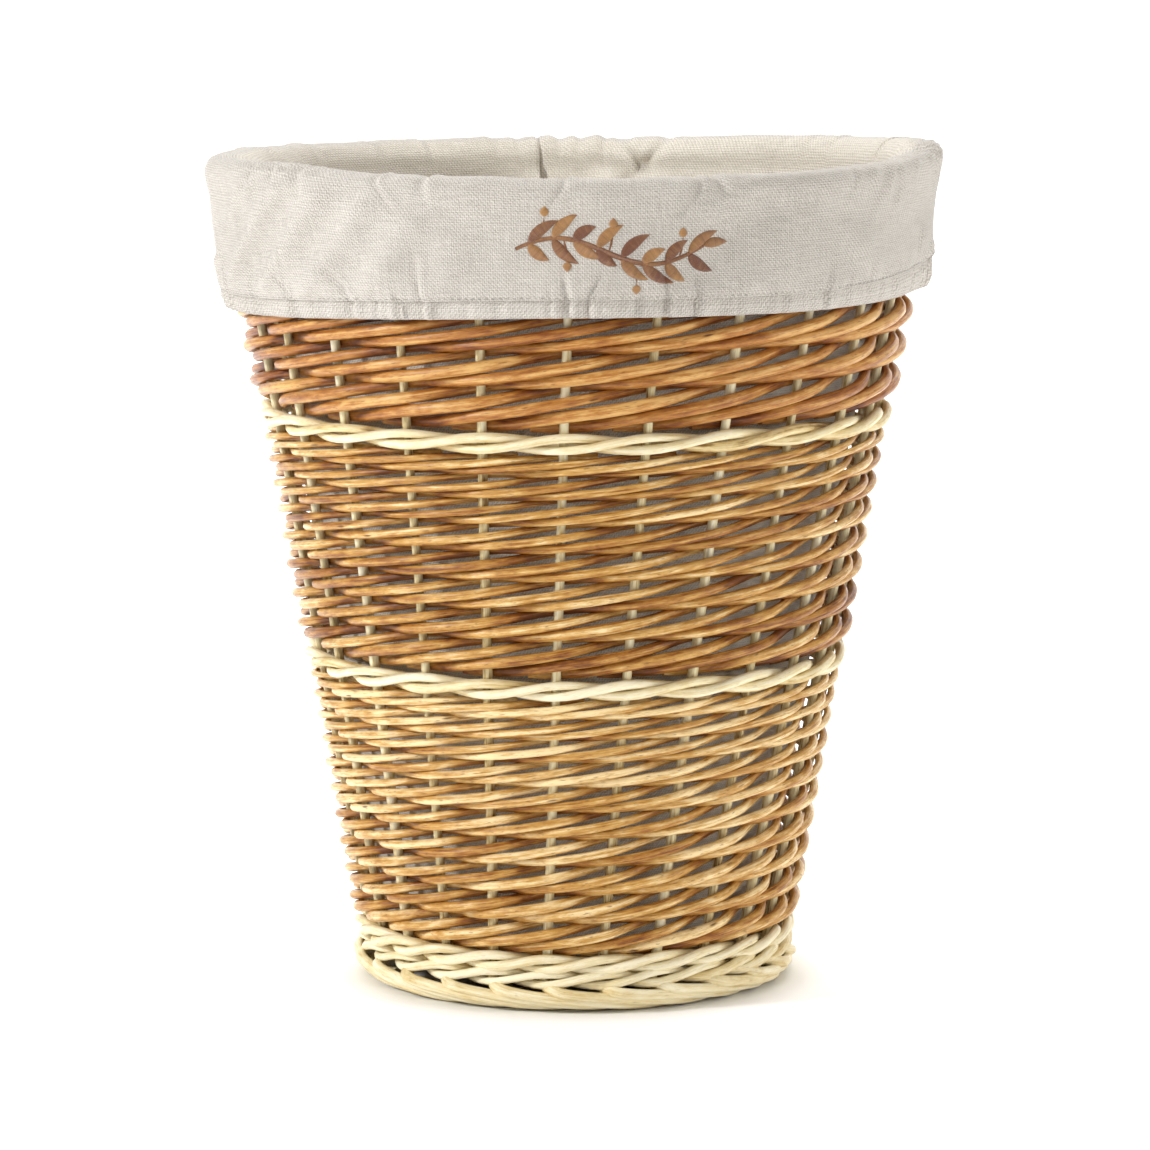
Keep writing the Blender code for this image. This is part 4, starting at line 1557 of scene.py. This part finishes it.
def lay_paper():
    """A pale floor that curves up behind."""
    deselect()
    bpy.ops.mesh.primitive_plane_add(size=14.0, location=(0, -1.0, 0))
    paper = bpy.context.object
    paper.name = "studio_paper"
    bpy.ops.object.mode_set(mode="EDIT")
    bpy.ops.mesh.select_mode(type="EDGE")
    bpy.ops.mesh.select_all(action="DESELECT")
    bpy.ops.object.mode_set(mode="OBJECT")
    for edge in paper.data.edges:
        edge.select = all(paper.data.vertices[end].co.y > 5.0 for end in edge.vertices)
    bpy.ops.object.mode_set(mode="EDIT")
    bpy.ops.mesh.extrude_region_move(TRANSFORM_OT_translate={"value": (0, 0, 6.0)})
    bpy.ops.object.mode_set(mode="OBJECT")
    bpy.ops.object.transform_apply(location=True, rotation=True, scale=True)
    bend = paper.modifiers.new("bend", "BEVEL")
    bend.width = 2.0
    bend.segments = 16
    bend.angle_limit = math.radians(60)
    bpy.ops.object.modifier_apply(modifier="bend")
    bpy.ops.object.shade_smooth()
    paper.data.materials.append(paper_finish())


def set_stage():
    """A pale floor that curves up behind, soft lamps and the camera."""
    lay_paper()
    scene = bpy.context.scene
    scene.world = scene.world or bpy.data.worlds.new("studio")
    scene.world.use_nodes = True
    sky = scene.world.node_tree.nodes["Background"]
    sky.inputs["Color"].default_value = (1.0, 1.0, 1.0, 1)
    sky.inputs["Strength"].default_value = 0.46
    soft_light("key", (-2.8, -1.2, 1.6), (0, 0, 0.26), size=0.5, power=68)
    soft_light("fill", (2.5, -1.2, 1.2), (0, 0, 0.25), size=1.0, power=19, tone=(1.0, 0.97, 0.92))
    soft_light("top", (0.2, 0.2, 2.6), (0, 0, 0.3), size=1.4, power=22)
    soft_light("wash", (0, 2.6, 3.4), (0, 5.0, 0.8), size=4.0, power=240)
    deselect()
    bpy.ops.object.camera_add(location=(0, -3.1, 0.68), rotation=(math.radians(82.01), 0, 0))
    camera = bpy.context.object
    camera.name = "camera"
    camera.data.sensor_width = 36.0
    camera.data.lens = 160.1
    scene.camera = camera
    scene.view_settings.view_transform = "Standard"


# ---------------------------------------------------------------- operators


class BASKET_OT_stage(bpy.types.Operator):
    """Set out the floor, the lamps and the camera"""

    bl_idname = "basket.stage"
    bl_label = "Stage"

    def execute(self, context):
        set_stage()
        return {"FINISHED"}


class BASKET_OT_stakes(bpy.types.Operator):
    """Stand up the stakes"""

    bl_idname = "basket.stakes"
    bl_label = "Stakes"

    def execute(self, context):
        weave_stakes()
        return {"FINISHED"}


class BASKET_OT_base(bpy.types.Operator):
    """Weave the base and finish its sticks"""

    bl_idname = "basket.base"
    bl_label = "Base"

    def execute(self, context):
        weave_base()
        dress_sticks()
        return {"FINISHED"}


class BASKET_OT_sidings(bpy.types.Operator):
    """Weave the three sidings"""

    bl_idname = "basket.sidings"
    bl_label = "Sidings"

    def execute(self, context):
        sizes = weave()
        weave_siding("lower_siding", 31, 0.60, sizes.siding_butt, sizes.siding_tip, "buff_willow", 21)
        weave_siding(
            "middle_siding", 25, 0.64, sizes.siding_butt, sizes.siding_tip, "buff_willow", 22, deeper=0.45
        )
        weave_siding("upper_siding", 16, 0.94, sizes.brown_butt, sizes.brown_tip, "brown_willow", 23)
        return {"FINISHED"}


class BASKET_OT_wales(bpy.types.Operator):
    """Weave the wales of peeled willow"""

    bl_idname = "basket.wales"
    bl_label = "Wales"

    def execute(self, context):
        weave_wale("foot_wale", 2, 31)
        weave_wale("lower_wale", 1, 32)
        weave_wale("upper_wale", 1, 33)
        weave_wale("rim_wale", 1, 34)
        return {"FINISHED"}


class BASKET_OT_borders(bpy.types.Operator):
    """Turn down the borders at the foot and the rim"""

    bl_idname = "basket.borders"
    bl_label = "Borders"

    def execute(self, context):
        weave_foot_border()
        weave_rim_border()
        return {"FINISHED"}


class BASKET_OT_liner(bpy.types.Operator):
    """Sew the liner's bag and hang it in the basket"""

    bl_idname = "basket.liner"
    bl_label = "Liner"

    def execute(self, context):
        sew_wall()
        sew_floor()
        sew_seams()
        return {"FINISHED"}


class BASKET_OT_cuff(bpy.types.Operator):
    """Fold the cuff over the rim, with its hem, elastic and embroidery"""

    bl_idname = "basket.cuff"
    bl_label = "Cuff"

    def execute(self, context):
        cuff, girth, reach = sew_cuff()
        casing, elastic, hem_girth, wrap = sew_hem()
        stitches = sew_stitches()
        sprig = embroider()
        return {"FINISHED"}


class BASKET_PT_panel(bpy.types.Panel):
    """The basket's pieces, in the order they are made"""

    bl_idname = "BASKET_PT_panel"
    bl_label = "Laundry Basket"
    bl_space_type = "VIEW_3D"
    bl_region_type = "UI"
    bl_category = "Basket"

    def draw(self, context):
        layout = self.layout
        for kind in PIECES:
            layout.operator(kind.bl_idname)
        for owner, kind in SETTINGS.items():
            box = layout.box()
            for name in kind.__annotations__:
                box.prop(getattr(context.scene, owner), name)


PIECES = (
    BASKET_OT_stage,
    BASKET_OT_stakes,
    BASKET_OT_base,
    BASKET_OT_sidings,
    BASKET_OT_wales,
    BASKET_OT_borders,
    BASKET_OT_liner,
    BASKET_OT_cuff,
)
SETTINGS = {"basket_weave": BasketWeave, "basket_cloth": LinerCloth, "basket_colours": BasketColours}
CLASSES = (*SETTINGS.values(), *PIECES, BASKET_PT_panel)


def register():
    for kind in CLASSES:
        bpy.utils.register_class(kind)
    for owner, kind in SETTINGS.items():
        setattr(bpy.types.Scene, owner, bpy.props.PointerProperty(type=kind))


def unregister():
    for owner in SETTINGS:
        delattr(bpy.types.Scene, owner)
    for kind in reversed(CLASSES):
        bpy.utils.unregister_class(kind)


def main():
    register()
    bpy.ops.basket.stage()
    bpy.ops.basket.stakes()
    bpy.ops.basket.base()
    bpy.ops.basket.sidings()
    bpy.ops.basket.wales()
    bpy.ops.basket.borders()
    bpy.ops.basket.liner()
    bpy.ops.basket.cuff()


if __name__ == "__main__":
    main()
